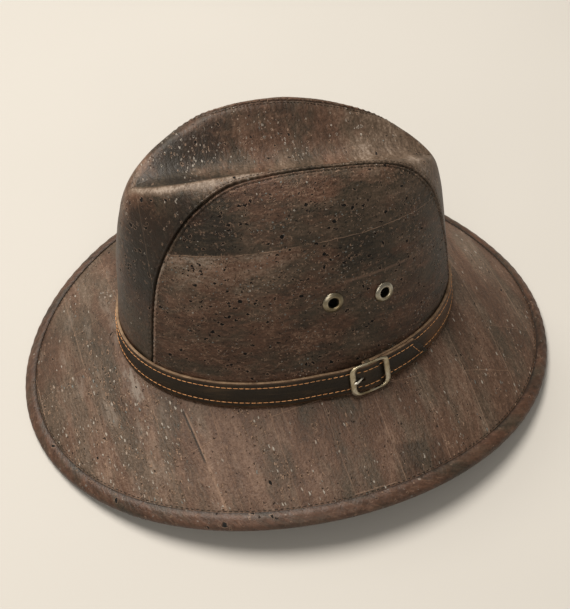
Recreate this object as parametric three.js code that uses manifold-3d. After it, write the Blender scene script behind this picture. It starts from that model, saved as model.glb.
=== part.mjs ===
// A fedora sewn from cork fabric: a crown of two side panels and a long centre panel,
// a shaped brim in a rolled edge binding, a leather band closed by a small buckle,
// and two vent eyelets in each side. Front is -Y, the wearer's left is +X, up is +Z.
import * as THREE from 'three';
import { mergeVertices } from 'three/addons/utils/BufferGeometryUtils.js';
import Module from 'manifold-3d';

const wasm = await Module();
wasm.setup();

// Driving sizes, in millimetres and degrees
const clearance = 0.3;            // between any two sewn, seated or threaded pieces

const headLength = 211.3;         // outside of the crown where it meets the brim
const headWidth = 166.6;
const footHeight = 44.1;          // the crown's foot above the surface that the brim rests on
const footSaddle = 2.6;           // the foot is this much higher at the sides, lower at the ends
const crownWall = 2;

const frontHeight = 116;          // top of the crown's front above its foot
const backHeight = 95.8;
const ridgeRise = 25.6;           // the two ridges bow up this much between front and back
const ridgeBow = 1.68;            // higher is a more pointed bow
const ridgeLength = 174;          // front tip to back tip of a ridge
const ridgeShift = 3;             // the ridges' middle lies this far back of the head's middle
const ridgeApart = 61.8;          // between the two ridges at their widest
const ridgePinch = 1.28;          // how sharply the ridges close at the tips
const creaseDepth = 20;           // the long crease below the ridges at the middle
const creaseTipRise = 2;          // its floor ends this much above the tips
const creaseShort = 0.94;         // share of the ridges' length that the crease floor has

const wallRise = 0.62;            // share of the height up to which the wall stays straight
const leanFront = 0.069;          // how far the straight wall leans in, per unit of height
const leanBack = 0.104;
const leanSide = 0.268;
const roundEnds = 8.1;            // how softly the wall rolls over, at the ends and the sides
const roundSides = 21.6;

const brimLength = 342.8;         // over the binding, front to back and side to side
const brimWidth = 298.3;
const brimThickness = 2.6;
const brimBulge = 2.5;            // how far the brim bows up between foot and rim
const brimSideLift = 18.4;        // how far the rim stands up at the two sides
const brimLiftShape = 1.9;
const restHalfAngle = 12;         // the rim lies flat this far either side of front and back

const bindingThickness = 6;
const bindingWidth = 10;
const slotDepth = 6.5;            // how far the brim's edge reaches into the binding
const restFlat = 0.5;             // taken off the underside of the rim where it rests

const bandWidth = 17.4;
const bandThickness = 1.8;
const skivedThickness = 1;        // the strap is pared to this where it folds round the bar
const tailTop = 34;               // the free end past the bar, along its upper and lower edge
const tailTip = 45.5;
const climbLength = 22;           // the strap's way from the wall up onto its own start
const buckleAngle = 104.6;        // the bar's place round the head, from the front to the left

const buckleLength = 26;          // along the band, over both side bars
const buckleHeight = 21.2;
const sideBar = 3.8;              // width of a side bar, seen from outside
const barWidth = 3.2;             // the bar in the middle that the strap folds round
const barThickness = 1.2;
const frameThickness = 1.6;
const frameBevel = 0.6;
const frameSquare = 5;            // how square the frame's outline and its opening are
const openingSquare = 6;
const openingPlay = 0.48;         // between the strap's edge and the opening
const postWidth = 0.8;            // the two posts that the bar hangs on
const barInPost = 0.5;
const postInFrame = 0.7;
const postInset = 0.3;            // how much narrower than the bar a post is, and how far up in it
const prongWidth = 1.6;
const prongThickness = 1;
const prongCorner = 0.5;
const prongRoom = 0.96;           // the frame stands this far above the strap's free end

const eyeletFlange = 12.4;        // across the flange
const eyeletHole = 6.2;
const eyeletMetal = 0.5;
const eyeletCrown = 1.3;          // the rolled flange stands this far off the cloth
const eyeletInnerRoll = 0.9;      // width of the roll towards the hole and towards the edge
const eyeletOuterRoll = 1.2;
const eyeletLip = 0.3;
const eyeletWasher = 10.4;

// The seam of a side panel: its place round the head, in degrees from the front,
// and its height as a share of the wall from foot to ridge.
const seamTable = [
  { angle: 27, share: 0 },
  { angle: 28.7, share: 0.15 },
  { angle: 30.3, share: 0.3 },
  { angle: 33, share: 0.41 },
  { angle: 38, share: 0.52 },
  { angle: 45, share: 0.645 },
  { angle: 55, share: 0.79 },
  { angle: 66, share: 0.915 },
  { angle: 80, share: 0.965 },
  { angle: 97, share: 0.98 },
  { angle: 112, share: 0.98 },
  { angle: 124, share: 0.955 },
  { angle: 133, share: 0.88 },
  { angle: 142, share: 0.745 },
  { angle: 150, share: 0.59 },
  { angle: 157, share: 0.4 },
  { angle: 161, share: 0.2 },
  { angle: 163, share: 0 },
];
const seamFrontCorner = 4;        // rows of the table where a leg becomes the seam's top stretch
const seamBackCorner = 13;

// The eyelets of one side, placed like the seam
const eyeletTable = [
  { name: 'front', angle: 95.3, share: 0.287 },
  { name: 'back', angle: 114.5, share: 0.274 },
];

// How finely the pieces are cut into faces
const legSteps = 11;
const topSteps = 30;
const wallSteps = 3;              // across the centre panel, from seam to ridge and ridge to crease
const creaseSteps = 4;
const tipRow = legSteps + 3;      // the row of the centre panel that meets the ridge's tip
const roundSteps = 60;
const bandSteps = 64;
const foldSteps = 5;
const buckleSteps = 40;
const eyeletSides = 12;
const drillSides = 16;
const lengthSteps = 40;           // fine steps per coarse one where a length is measured
const overrun = 1;                // a cutting shape runs this far past what it cuts

const colours = {
  cork: 0x4b3a30,
  corkEdge: 0x523b32,
  leather: 0x35301f,
  brass: 0x8d8467,
};

// The shape of the crown
const radians = THREE.MathUtils.degToRad;
const mix = THREE.MathUtils.lerp;
const sideShare = (angle) => Math.sin(angle) ** 2;
const nudge = 0.01;               // step for taking slopes
const tiny = 1e-6;

function foot(angle) {
  return new THREE.Vector3(
    (headWidth / 2) * Math.sin(angle),
    (-headLength / 2) * Math.cos(angle),
    footHeight - footSaddle * Math.cos(2 * angle),
  );
}

function outwardAt(angle) {
  const across = Math.sin(angle) / headWidth;
  const along = -Math.cos(angle) / headLength;
  return new THREE.Vector3(across, along, 0).normalize();
}

function ridge(angle) {
  const side = Math.abs(Math.sin(angle));
  const front = (1 + Math.cos(angle)) / 2;
  return new THREE.Vector3(
    (Math.sign(Math.sin(angle)) * ridgeApart / 2) * side ** ridgePinch,
    ridgeShift - (ridgeLength / 2) * Math.cos(angle),
    footHeight + mix(backHeight, frontHeight, front) + ridgeRise * side ** ridgeBow,
  );
}

function creaseFloor(angle) {
  const depth = mix(-creaseTipRise, creaseDepth, sideShare(angle));
  return new THREE.Vector3(
    0,
    ridgeShift - (ridgeLength / 2) * creaseShort * Math.cos(angle),
    ridge(angle).z - depth,
  );
}

// The wall, from the foot at share 0 to the ridge at share 1
function wallPoint(angle, share) {
  const start = foot(angle);
  const end = ridge(angle);
  const out = outwardAt(angle);
  const leanEnd = Math.cos(angle) > 0 ? leanFront : leanBack;
  const lean = mix(leanEnd, leanSide, sideShare(angle));
  const round = mix(roundEnds, roundSides, sideShare(angle));
  const straight = (end.z - start.z) * wallRise;
  const lower = start.clone().addScaledVector(out, -lean * straight);
  lower.z += straight;
  const upper = end.clone().addScaledVector(out, round);
  const back = 1 - share;
  return start.multiplyScalar(back ** 3)
    .addScaledVector(lower, 3 * back * back * share)
    .addScaledVector(upper, 3 * back * share * share)
    .addScaledVector(end, share ** 3);
}

// The whole crown: height 0 to 1 is the wall, 1 to 2 runs from the ridge into the crease
function crownPoint(angle, height) {
  if (height <= 1) {
    return wallPoint(angle, height);
  }
  const top = ridge(angle);
  const floor = creaseFloor(angle);
  const share = height - 1;
  const eased = (1 - Math.cos(Math.PI * share)) / 2;
  const point = top.clone().lerp(floor, share);
  point.z = mix(top.z, floor.z, eased);
  return point;
}

function crownNormal(angle, height) {
  const inCrease = height > 1;
  const low = Math.max(height - nudge, inCrease ? 1 : -1);
  const high = Math.min(height + nudge, inCrease ? 2 : 1);
  const up = crownPoint(angle, high).sub(crownPoint(angle, low));
  if (Math.abs(Math.sin(angle)) < tiny) {
    return new THREE.Vector3(0, -up.z, up.y).multiplyScalar(Math.cos(angle)).normalize();
  }
  const along = crownPoint(angle + nudge, height).sub(crownPoint(angle - nudge, height));
  return along.cross(up).normalize();
}

// Small tools for closed meshes
class Solid {
  constructor() {
    this.points = [];
    this.faces = [];
    this.known = new Map();
  }

  add(point) {
    const key = [point.x, point.y, point.z].map((value) => value.toFixed(5)).join();
    if (!this.known.has(key)) {
      this.known.set(key, this.points.length / 3);
      this.points.push(point.x, point.y, point.z);
    }
    return this.known.get(key);
  }

  triangle(a, b, c) {
    if (a !== b && b !== c && c !== a) this.faces.push(a, b, c);
  }

  quad(a, b, c, d) {
    this.triangle(a, b, c);
    this.triangle(a, c, d);
  }

  geometry() {
    const geometry = new THREE.BufferGeometry();
    geometry.setAttribute('position', new THREE.Float32BufferAttribute(this.points, 3));
    geometry.setIndex(this.faces);
    geometry.computeVertexNormals();
    return geometry;
  }
}

// A sheet of cloth or cork: outer points and their normals in rows, thickened inwards
function sheetSolid(rows, thickness) {
  const solid = new Solid();
  const outer = rows.map((row) => row.map((spot) => solid.add(spot.point)));
  const inner = rows.map((row) => row.map((spot) => (
    solid.add(spot.point.clone().addScaledVector(spot.normal, -thickness)))));
  const last = rows.length - 1;
  const end = rows[0].length - 1;
  for (let i = 0; i < last; i += 1) {
    for (let j = 0; j < end; j += 1) {
      solid.quad(outer[i][j], outer[i + 1][j], outer[i + 1][j + 1], outer[i][j + 1]);
      solid.quad(inner[i][j], inner[i][j + 1], inner[i + 1][j + 1], inner[i + 1][j]);
    }
  }
  const edge = [];
  for (let i = 0; i < last; i += 1) edge.push([i, 0]);
  for (let j = 0; j < end; j += 1) edge.push([last, j]);
  for (let i = last; i > 0; i -= 1) edge.push([i, end]);
  for (let j = end; j > 0; j -= 1) edge.push([0, j]);
  edge.forEach(([i, j], k) => {
    const [m, n] = edge[(k + 1) % edge.length];
    solid.quad(outer[i][j], inner[i][j], inner[m][n], outer[m][n]);
  });
  return solid.geometry();
}

// A closed section carried all the way round; each section is a loop of points
function ringSolid(sections) {
  const solid = new Solid();
  const loops = sections.map((section) => section.map((point) => solid.add(point)));
  loops.forEach((loop, i) => {
    const next = loops[(i + 1) % loops.length];
    loop.forEach((corner, k) => {
      const after = (k + 1) % loop.length;
      solid.quad(corner, next[k], next[after], loop[after]);
    });
  });
  return solid.geometry();
}

function mirrored(geometry) {
  const copy = geometry.clone();
  copy.scale(-1, 1, 1);
  const index = copy.getIndex();
  for (let i = 0; i < index.count; i += 3) {
    const second = index.getX(i + 1);
    index.setX(i + 1, index.getX(i + 2));
    index.setX(i + 2, second);
  }
  copy.computeVertexNormals();
  return copy;
}

function toManifold(geometry) {
  const bare = new THREE.BufferGeometry();
  bare.setAttribute('position', geometry.getAttribute('position'));
  bare.setIndex(geometry.getIndex());
  const merged = mergeVertices(bare, 1e-4);
  return new wasm.Manifold(new wasm.Mesh({
    numProp: 3,
    vertProperties: new Float32Array(merged.getAttribute('position').array),
    triVerts: new Uint32Array(merged.getIndex().array),
  }));
}

function fromManifold(manifold) {
  const mesh = manifold.getMesh();
  const geometry = new THREE.BufferGeometry();
  geometry.setAttribute('position', new THREE.Float32BufferAttribute(mesh.vertProperties, 3));
  geometry.setIndex(Array.from(mesh.triVerts));
  geometry.computeVertexNormals();
  return geometry;
}

const cut = (body, tool) => fromManifold(toManifold(body).subtract(toManifold(tool)));
const join = (body, other) => fromManifold(toManifold(body).add(toManifold(other)));

// The seam as a curve over the wall, and evenly spaced spots along its three stretches
const seamCurve = new THREE.SplineCurve(
  seamTable.map((row) => new THREE.Vector2(row.angle, row.share)),
);

function seamPlace(t) {
  const spot = seamCurve.getPoint(t);
  return { angle: radians(spot.x), height: Math.min(Math.max(spot.y, 0), 1) };
}

function evenly(place, from, to, count) {
  const fine = lengthSteps * count;
  const lengths = [0];
  let last = crownPoint(place(from).angle, place(from).height);
  for (let i = 1; i <= fine; i += 1) {
    const spot = place(mix(from, to, i / fine));
    const point = crownPoint(spot.angle, spot.height);
    lengths.push(lengths[i - 1] + point.distanceTo(last));
    last = point;
  }
  const stops = [];
  for (let k = 0, i = 0; k <= count; k += 1) {
    const target = (lengths[fine] * k) / count;
    while (i < fine - 1 && lengths[i + 1] < target) i += 1;
    const share = (target - lengths[i]) / (lengths[i + 1] - lengths[i]);
    stops.push(mix(from, to, Math.min((i + share) / fine, 1)));
  }
  return stops.map(place);
}

const seamLast = seamTable.length - 1;
const frontLeg = evenly(seamPlace, 0, seamFrontCorner / seamLast, legSteps);
const topStretch = evenly(
  seamPlace, seamFrontCorner / seamLast, seamBackCorner / seamLast, topSteps,
);
const backLeg = evenly(seamPlace, seamBackCorner / seamLast, 1, legSteps);
const seam = [...frontLeg, ...topStretch.slice(1), ...backLeg.slice(1)];

// A spot of the crown's outer face, with the way through the wall. At the foot that way
// is level, so that the crown stands flat on the brim.
function crownSpot(angle, height) {
  const point = crownPoint(angle, height);
  let normal = crownNormal(angle, height);
  if (height < tiny) {
    const level = outwardAt(angle);
    normal = level.clone().divideScalar(level.dot(normal));
  }
  return { point, normal };
}

// A spot on the seam, moved half a seam gap towards the centre panel (1) or away from it (-1)
function seamSpot(index, side) {
  const here = seam[index];
  const before = seam[Math.max(index - 1, 0)];
  const after = seam[Math.min(index + 1, seam.length - 1)];
  const spot = crownSpot(here.angle, here.height);
  const along = crownPoint(after.angle, after.height)
    .sub(crownPoint(before.angle, before.height));
  const towards = crownNormal(here.angle, here.height).cross(along);
  if (index === 0 || index === seam.length - 1) {
    towards.z = 0;
  }
  towards.normalize();
  spot.point.addScaledVector(towards, (side * clearance) / 2);
  return spot;
}

// The left side panel, blended between the foot and the three stretches of its seam
function sidePanel() {
  const rows = [];
  const corner = (place) => new THREE.Vector2(place.angle, place.height);
  const start = corner(seam[0]);
  const end = corner(seam[seam.length - 1]);
  const topStart = corner(topStretch[0]);
  const topEnd = corner(topStretch[topSteps]);
  for (let i = 0; i <= topSteps; i += 1) {
    const u = i / topSteps;
    const row = [];
    for (let j = 0; j <= legSteps; j += 1) {
      const v = j / legSteps;
      if (i === 0) {
        row.push(seamSpot(j, -1));
      } else if (i === topSteps) {
        row.push(seamSpot(seam.length - 1 - j, -1));
      } else if (j === legSteps) {
        row.push(seamSpot(legSteps + i, -1));
      } else {
        const onFoot = start.clone().lerp(end, u);
        const spot = onFoot.multiplyScalar(1 - v)
          .addScaledVector(corner(topStretch[i]), v)
          .addScaledVector(corner(frontLeg[j]), 1 - u)
          .addScaledVector(corner(backLeg[legSteps - j]), u)
          .addScaledVector(start, -(1 - u) * (1 - v))
          .addScaledVector(end, -u * (1 - v))
          .addScaledVector(topStart, -(1 - u) * v)
          .addScaledVector(topEnd, -u * v);
        row.push(crownSpot(spot.x, spot.y));
      }
    }
    rows.push(row);
  }
  return sheetSolid(rows, crownWall);
}

// The line that the centre panel is measured out to from its seam: up the middle of the
// front, along the ridge from tip to tip, and down the middle of the back
function ridgePlace(t) {
  if (t < 1) return { angle: 0, height: t };
  if (t < 2) return { angle: Math.PI * (t - 1), height: 1 };
  return { angle: Math.PI, height: 3 - t };
}

function centrePanel() {
  const last = seam.length - 1;
  const line = [
    ...evenly(ridgePlace, 0, 1, tipRow),
    ...evenly(ridgePlace, 1, 2, last - 2 * tipRow).slice(1),
    ...evenly(ridgePlace, 2, 3, tipRow).slice(1),
  ];
  const rows = seam.map((place, k) => {
    const half = [seamSpot(k, 1)];
    for (let j = 1; j <= wallSteps; j += 1) {
      const angle = mix(place.angle, line[k].angle, j / wallSteps);
      const height = mix(place.height, line[k].height, j / wallSteps);
      half.push(crownSpot(angle, height));
    }
    const onRidge = k > tipRow && k < last - tipRow;
    for (let j = 1; j <= creaseSteps; j += 1) {
      const height = 1 + j / creaseSteps;
      half.push(onRidge ? crownSpot(line[k].angle, height) : half[wallSteps]);
    }
    const other = half.slice(0, -1).reverse().map((spot) => ({
      point: spot.point.clone().setX(-spot.point.x),
      normal: spot.normal.clone().setX(-spot.normal.x),
    }));
    return [...half, ...other];
  });
  return sheetSolid(rows, crownWall);
}

// The brim: a section of it is drawn outwards from the foot, as distance and height
const rimNose = bindingThickness / 2;

function rim(angle) {
  const flat = Math.sin(radians(restHalfAngle));
  const lift = Math.max((Math.abs(Math.sin(angle)) - flat) / (1 - flat), 0);
  return new THREE.Vector3(
    (brimWidth / 2) * Math.sin(angle),
    (-brimLength / 2) * Math.cos(angle),
    brimSideLift * lift ** brimLiftShape,
  );
}

function brimFrame(angle) {
  const start = foot(angle);
  const edge = rim(angle);
  const out = edge.clone().sub(start).setZ(0);
  const reach = out.length();
  out.normalize();
  const top = start.z - clearance - brimThickness / 2;
  // the nose of the rim stands on the surface where the rim lies flat
  const rough = (top - edge.z + 4 * brimBulge) / reach;
  const tilt = Math.atan(rough);
  const edgeHeight = edge.z + rimNose * (1 - Math.sin(tilt)) - restFlat;
  const place = (distance, height) => (
    start.clone().setZ(height).addScaledVector(out, distance)
  );
  const middle = (share) => ({
    distance: reach * share,
    height: mix(top, edgeHeight, share) + 4 * brimBulge * share * (1 - share),
    slope: Math.atan2(
      edgeHeight - top + 4 * brimBulge * (1 - 2 * share), reach,
    ),
  });
  return { place, middle, top };
}

const brimShares = [0.25, 0.52, 0.76];

function brimSection(angle) {
  const { place, middle, top } = brimFrame(angle);
  const half = brimThickness / 2;
  const upper = [place(-crownWall, top + half), place(0, top + half)];
  const lower = [place(-crownWall, top - half), place(0, top - half)];
  const station = (spot, inwards) => {
    const along = new THREE.Vector2(Math.cos(spot.slope), Math.sin(spot.slope));
    const distance = spot.distance - inwards * along.x;
    const height = spot.height - inwards * along.y;
    upper.push(place(distance - along.y * half, height + along.x * half));
    lower.push(place(distance + along.y * half, height - along.x * half));
  };
  brimShares.forEach((share) => station(middle(share), 0));
  // the last stretch runs straight into the binding's slot
  station(middle(1), bindingWidth + overrun);
  station(middle(1), bindingWidth - slotDepth + clearance);
  return [...lower, ...upper.reverse()];
}

// The binding: a rolled strip with a slot for the brim's edge, drawn from the nose inwards
const noseAngles = [-73, -33, 0, 30, 60];
const slotHalf = brimThickness / 2 + clearance;
const lipDrop = 0.8;

function bindingSection(angle) {
  const { place, middle } = brimFrame(angle);
  const nose = middle(1);
  const along = new THREE.Vector2(Math.cos(nose.slope), Math.sin(nose.slope));
  const spots = [
    [-bindingWidth, -slotHalf],
    [-bindingWidth, -rimNose + lipDrop],
    [-bindingWidth + lipDrop, -rimNose],
    [-rimNose, -rimNose],
    ...noseAngles.map((turn) => [
      rimNose * (Math.cos(radians(turn)) - 1), rimNose * Math.sin(radians(turn)),
    ]),
    [-rimNose, rimNose],
    [-bindingWidth + lipDrop, rimNose],
    [-bindingWidth, rimNose - lipDrop],
    [-bindingWidth, slotHalf],
    [-bindingWidth + slotDepth, slotHalf],
    [-bindingWidth + slotDepth, -slotHalf],
  ];
  return spots.map(([inwards, above]) => place(
    nose.distance + inwards * along.x - above * along.y,
    Math.max(nose.height + inwards * along.y + above * along.x, 0),
  ));
}

function aroundBrim(section) {
  const sections = [];
  for (let i = 0; i < roundSteps; i += 1) {
    sections.push(section((2 * Math.PI * i) / roundSteps));
  }
  return ringSolid(sections);
}

// The band's own space: x runs along the band from the buckle's bar towards the back,
// h up the crown's wall from the foot, and off away from the wall.
const turnTable = [0];
const turnSteps = 1440;
const barTurn = radians(buckleAngle);
for (let i = 1; i <= turnSteps; i += 1) {
  const before = foot(barTurn + (2 * Math.PI * (i - 1)) / turnSteps);
  const here = foot(barTurn + (2 * Math.PI * i) / turnSteps);
  turnTable.push(turnTable[i - 1] + here.distanceTo(before));
}
const bandLength = turnTable[turnSteps];

function angleAlong(x) {
  const turns = Math.floor(x / bandLength);
  const rest = x - turns * bandLength;
  let low = 0;
  let high = turnSteps;
  while (high - low > 1) {
    const half = (low + high) >> 1;
    if (turnTable[half] <= rest) low = half;
    else high = half;
  }
  const share = (rest - turnTable[low]) / (turnTable[high] - turnTable[low]);
  return barTurn + 2 * Math.PI * (turns + (low + share) / turnSteps);
}

function onWall(x, h, off) {
  const angle = angleAlong(x);
  const start = foot(angle);
  const up = wallPoint(angle, nudge).sub(start);
  const grow = up.length() / nudge;
  up.normalize();
  let share = h / grow;
  for (let i = 0; i < 4; i += 1) {
    share += (h - wallPoint(angle, share).sub(start).dot(up)) / grow;
  }
  const normal = crownNormal(angle, share);
  return wallPoint(angle, share).addScaledVector(normal, off);
}

// A piece drawn flat as [x, off] outlines and raised along h. low and high may be
// functions of x, for a slanted end.
function bandPrism(outline, holes, low, high) {
  const solid = new Solid();
  const slant = (loop, h) => loop.map((spot) => (
    onWall(typeof spot[0] === 'function' ? spot[0](h) : spot[0], h, spot[1])));
  const flat = (points) => points.map((point) => new THREE.Vector2(point.x, point.y));
  const turned = (loop, clockwise) => (
    THREE.ShapeUtils.isClockWise(flat(slant(loop, low))) === clockwise ? loop : [...loop].reverse()
  );
  const loops = [turned(outline, false), ...holes.map((hole) => turned(hole, true))];
  const below = loops.map((loop) => slant(loop, low));
  const above = loops.map((loop) => slant(loop, high));
  const under = below.map((loop) => loop.map((point) => solid.add(point)));
  const over = above.map((loop) => loop.map((point) => solid.add(point)));
  under.forEach((loop, k) => loop.forEach((corner, i) => {
    const after = (i + 1) % loop.length;
    solid.quad(corner, loop[after], over[k][after], over[k][i]);
  }));
  const caps = THREE.ShapeUtils.triangulateShape(flat(below[0]), below.slice(1).map(flat));
  const places = flat(below.flat());
  const allUnder = under.flat();
  const allOver = over.flat();
  caps.forEach(([a, b, c]) => {
    const left = places[b].clone().sub(places[a]);
    const right = places[c].clone().sub(places[a]);
    const [first, second] = left.cross(right) > 0 ? [b, c] : [c, b];
    solid.triangle(allOver[a], allOver[first], allOver[second]);
    solid.triangle(allUnder[a], allUnder[second], allUnder[first]);
  });
  return solid.geometry();
}

// How the strap, the bar, the prong and the frame are stacked over the wall at the buckle
const foldLow = clearance;
const barLow = foldLow + skivedThickness + clearance;
const barHigh = barLow + barThickness;
const foldHigh = barHigh + clearance + skivedThickness;
const tailOver = foldHigh + clearance;
const tailUnder = clearance + bandThickness + clearance;
const frameLow = tailUnder + bandThickness + prongRoom;
const frameHigh = frameLow + frameThickness;
const humpFlat = 3;               // the strap's free end lies level this far over the bar
const humpEnd = 10;
const prongInStrap = [0.05, 0.72];  // the stretch of the prong's shank inside its hole
const prongReach = 0.45;          // share of the side bar that its tip leaves free
const prongEyeUnder = 0.9;        // its eye below the bar, clear of the wall
const bandMiddle = bandWidth / 2;

function humpOff(x) {
  const share = THREE.MathUtils.smoothstep(Math.abs(x), humpFlat, humpEnd);
  return mix(tailOver, tailUnder, share);
}

// The strap's inner face: on the wall all the way round, then up over its own start
function strapOff(x) {
  const toTail = x - bandLength;
  if (toTail > -humpEnd) return humpOff(toTail);
  const share = THREE.MathUtils.smoothstep(toTail, -humpEnd - climbLength, -humpEnd);
  return mix(clearance, tailUnder, share);
}

// The strap as one outline: its pared start folded round the bar, the way round the head,
// and the free end over its own start.
function strap() {
  const foldEnd = barWidth / 2 + clearance + skivedThickness;
  const round = 0.7 * skivedThickness;
  const stops = [];
  for (let i = 1; i < bandSteps; i += 1) {
    stops.push(mix(humpEnd, bandLength - humpEnd, i / bandSteps));
  }
  for (let i = -foldSteps; i <= foldSteps; i += 1) {
    stops.push(bandLength + (i * humpEnd) / foldSteps);
  }
  stops.push(bandLength + (humpEnd + tailTop) / 2);
  const tailEnd = (h) => bandLength + mix(tailTip, tailTop, h / bandWidth);
  const inner = stops.map((x) => [x, strapOff(x)]);
  const outer = stops.map((x) => [x, strapOff(x) + bandThickness]).reverse();
  const fold = [];
  for (let i = foldSteps; i >= 0; i -= 1) {
    const x = (i * humpEnd) / foldSteps;
    fold.push([x, humpOff(x) - clearance]);
  }
  const outline = [
    [-foldEnd + round, foldLow],
    [humpEnd / 2, foldLow],
    ...inner,
    [tailEnd, tailUnder],
    [tailEnd, tailUnder + bandThickness],
    ...outer,
    ...fold,
    [-foldEnd + round, foldHigh],
    [-foldEnd, foldHigh - round],
    [-foldEnd, foldLow + round],
  ];
  const eye = barWidth / 2 + clearance;
  const hole = [
    [-eye, barLow - clearance],
    [eye, barLow - clearance],
    [eye, barHigh + clearance],
    [-eye, barHigh + clearance],
  ];
  const body = bandPrism(outline, [hole], 0, bandWidth);
  const low = bandMiddle - prongWidth / 2 - clearance;
  const high = bandMiddle + prongWidth / 2 + clearance;
  const slotEnd = foldEnd + clearance;
  const slot = bandPrism([
    [-slotEnd, -overrun], [slotEnd, -overrun],
    [slotEnd, tailOver - clearance / 2], [-slotEnd, tailOver],
  ], [], low, high);
  const half = prongThickness / 2 + 2 * clearance;
  const line = prongLine();
  const [start, end] = prongInStrap;
  const prongHole = bandPrism(
    [line(start, half), line(end, half), line(end, -half), line(start, -half)], [], low, high,
  );
  return cut(cut(body, slot), prongHole);
}

// A spot beside the prong's straight shank: share 0 at its eye, 1 at the side bar
function prongLine() {
  const eyeEnd = barWidth / 2 + clearance + prongThickness;
  const from = new THREE.Vector2(-eyeEnd, foldHigh - prongThickness / 2 - clearance / 3);
  const to = new THREE.Vector2(
    -buckleLength / 2 + sideBar, frameHigh + clearance + prongThickness / 2,
  );
  const normal = to.clone().sub(from).normalize().rotateAround(new THREE.Vector2(), -Math.PI / 2);
  return (share, side) => {
    const spot = from.clone().lerp(to, share).addScaledVector(normal, side);
    return [spot.x, spot.y];
  };
}

function prong() {
  const line = prongLine();
  const half = prongThickness / 2;
  const eye = barWidth / 2 + clearance;
  const outerEye = eye + prongThickness;
  const low = barLow - clearance;
  const high = barHigh + clearance;
  const top = foldHigh - clearance / 3;
  const bottom = low - prongEyeUnder;
  const tip = -buckleLength / 2 + prongReach * sideBar;
  const rest = frameHigh + clearance;
  const shankStart = 0.1;
  const outline = [
    [outerEye - prongCorner, bottom],
    [outerEye, bottom + prongCorner],
    [outerEye, top - prongCorner],
    [outerEye - prongCorner, top],
    [-eye, top],
    line(shankStart, half),
    line(1, half),
    [tip, rest + prongThickness],
    [tip - prongCorner / 2, rest + half],
    [tip, rest],
    line(1, -half),
    line(shankStart, -half),
    [-outerEye, bottom + prongCorner],
    [-outerEye + prongCorner, bottom],
  ];
  const hole = [[-eye, low], [eye, low], [eye, high], [-eye, high]];
  return bandPrism(outline, [hole], bandMiddle - prongWidth / 2, bandMiddle + prongWidth / 2);
}

// The buckle's frame: a rounded rectangle with bowed long sides, and the bar hung below it
function buckleFrame() {
  const openHalf = bandWidth / 2 + openingPlay;
  const outline = (halfLength, halfHeight, squareness, turn) => {
    const c = Math.cos(turn);
    const s = Math.sin(turn);
    return [
      halfLength * Math.sign(c) * Math.abs(c) ** (2 / squareness),
      bandMiddle + halfHeight * Math.sign(s) * Math.abs(s) ** (2 / squareness),
    ];
  };
  const profile = [
    [1, frameLow], [0, frameLow], [0, frameHigh - frameBevel], [0.25, frameHigh],
    [0.75, frameHigh], [1, frameHigh - frameBevel],
  ];
  const sections = [];
  for (let i = 0; i < buckleSteps; i += 1) {
    const turn = (2 * Math.PI * (i + 0.5)) / buckleSteps;
    const outer = outline(buckleLength / 2, buckleHeight / 2, frameSquare, turn);
    const inner = outline(buckleLength / 2 - sideBar, openHalf, openingSquare, turn);
    sections.push(profile.map(([inwards, off]) => (
      onWall(mix(outer[0], inner[0], inwards), mix(outer[1], inner[1], inwards), off))));
  }
  const half = barWidth / 2;
  const postNear = bandWidth / 2 + clearance;
  const postFar = postNear + postWidth;
  const barEnd = postNear + barInPost;
  const postTop = frameLow + postInFrame;
  const bar = bandPrism(
    [[-half, barLow], [half, barLow], [half, barHigh], [-half, barHigh]], [],
    bandMiddle - barEnd, bandMiddle + barEnd,
  );
  const postHalf = half - postInset;
  const postLow = barLow + postInset;
  const post = (low, high) => bandPrism(
    [[-postHalf, postLow], [postHalf, postLow], [postHalf, postTop], [-postHalf, postTop]],
    [], low, high,
  );
  let body = ringSolid(sections);
  [bar, post(bandMiddle - postFar, bandMiddle - postNear),
    post(bandMiddle + postNear, bandMiddle + postFar)].forEach((piece) => {
    body = join(body, piece);
  });
  return body;
}

// An eyelet: rolled flange, barrel through the cloth and a flat washer inside, one turned piece
const barrel = eyeletHole / 2 + eyeletMetal;
const washerTop = -(crownWall + 1.5 * clearance);

function eyelet() {
  const profile = [
    [eyeletHole / 2, washerTop - eyeletMetal],
    [eyeletHole / 2, clearance + eyeletCrown / 2],
    [eyeletHole / 2 + eyeletInnerRoll, clearance + eyeletCrown],
    [eyeletFlange / 2 - eyeletOuterRoll, clearance + eyeletCrown],
    [eyeletFlange / 2, clearance + eyeletMetal],
    [eyeletFlange / 2 - eyeletLip, clearance],
    [barrel, clearance],
    [barrel, washerTop],
    [eyeletWasher / 2, washerTop],
    [eyeletWasher / 2, washerTop - eyeletMetal],
    [eyeletHole / 2, washerTop - eyeletMetal],
  ];
  const points = profile.reverse().map(([radius, height]) => new THREE.Vector2(radius, height));
  return new THREE.LatheGeometry(points, eyeletSides);
}

function eyeletPlace(row, side) {
  const angle = radians(row.angle);
  const point = crownPoint(angle, row.share);
  const normal = crownNormal(angle, row.share);
  point.x *= side;
  normal.x *= side;
  const turn = new THREE.Quaternion().setFromUnitVectors(new THREE.Vector3(0, 1, 0), normal);
  return { point, turn };
}

function leftPanelWithHoles() {
  let panel = sidePanel();
  eyeletTable.forEach((row) => {
    const { point, turn } = eyeletPlace(row, 1);
    const drill = new THREE.CylinderGeometry(
      barrel + clearance, barrel + clearance, 4 * crownWall, drillSides,
    );
    drill.deleteAttribute('normal');
    drill.deleteAttribute('uv');
    drill.applyQuaternion(turn);
    drill.translate(point.x, point.y, point.z);
    panel = cut(panel, drill);
  });
  return panel;
}

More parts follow.
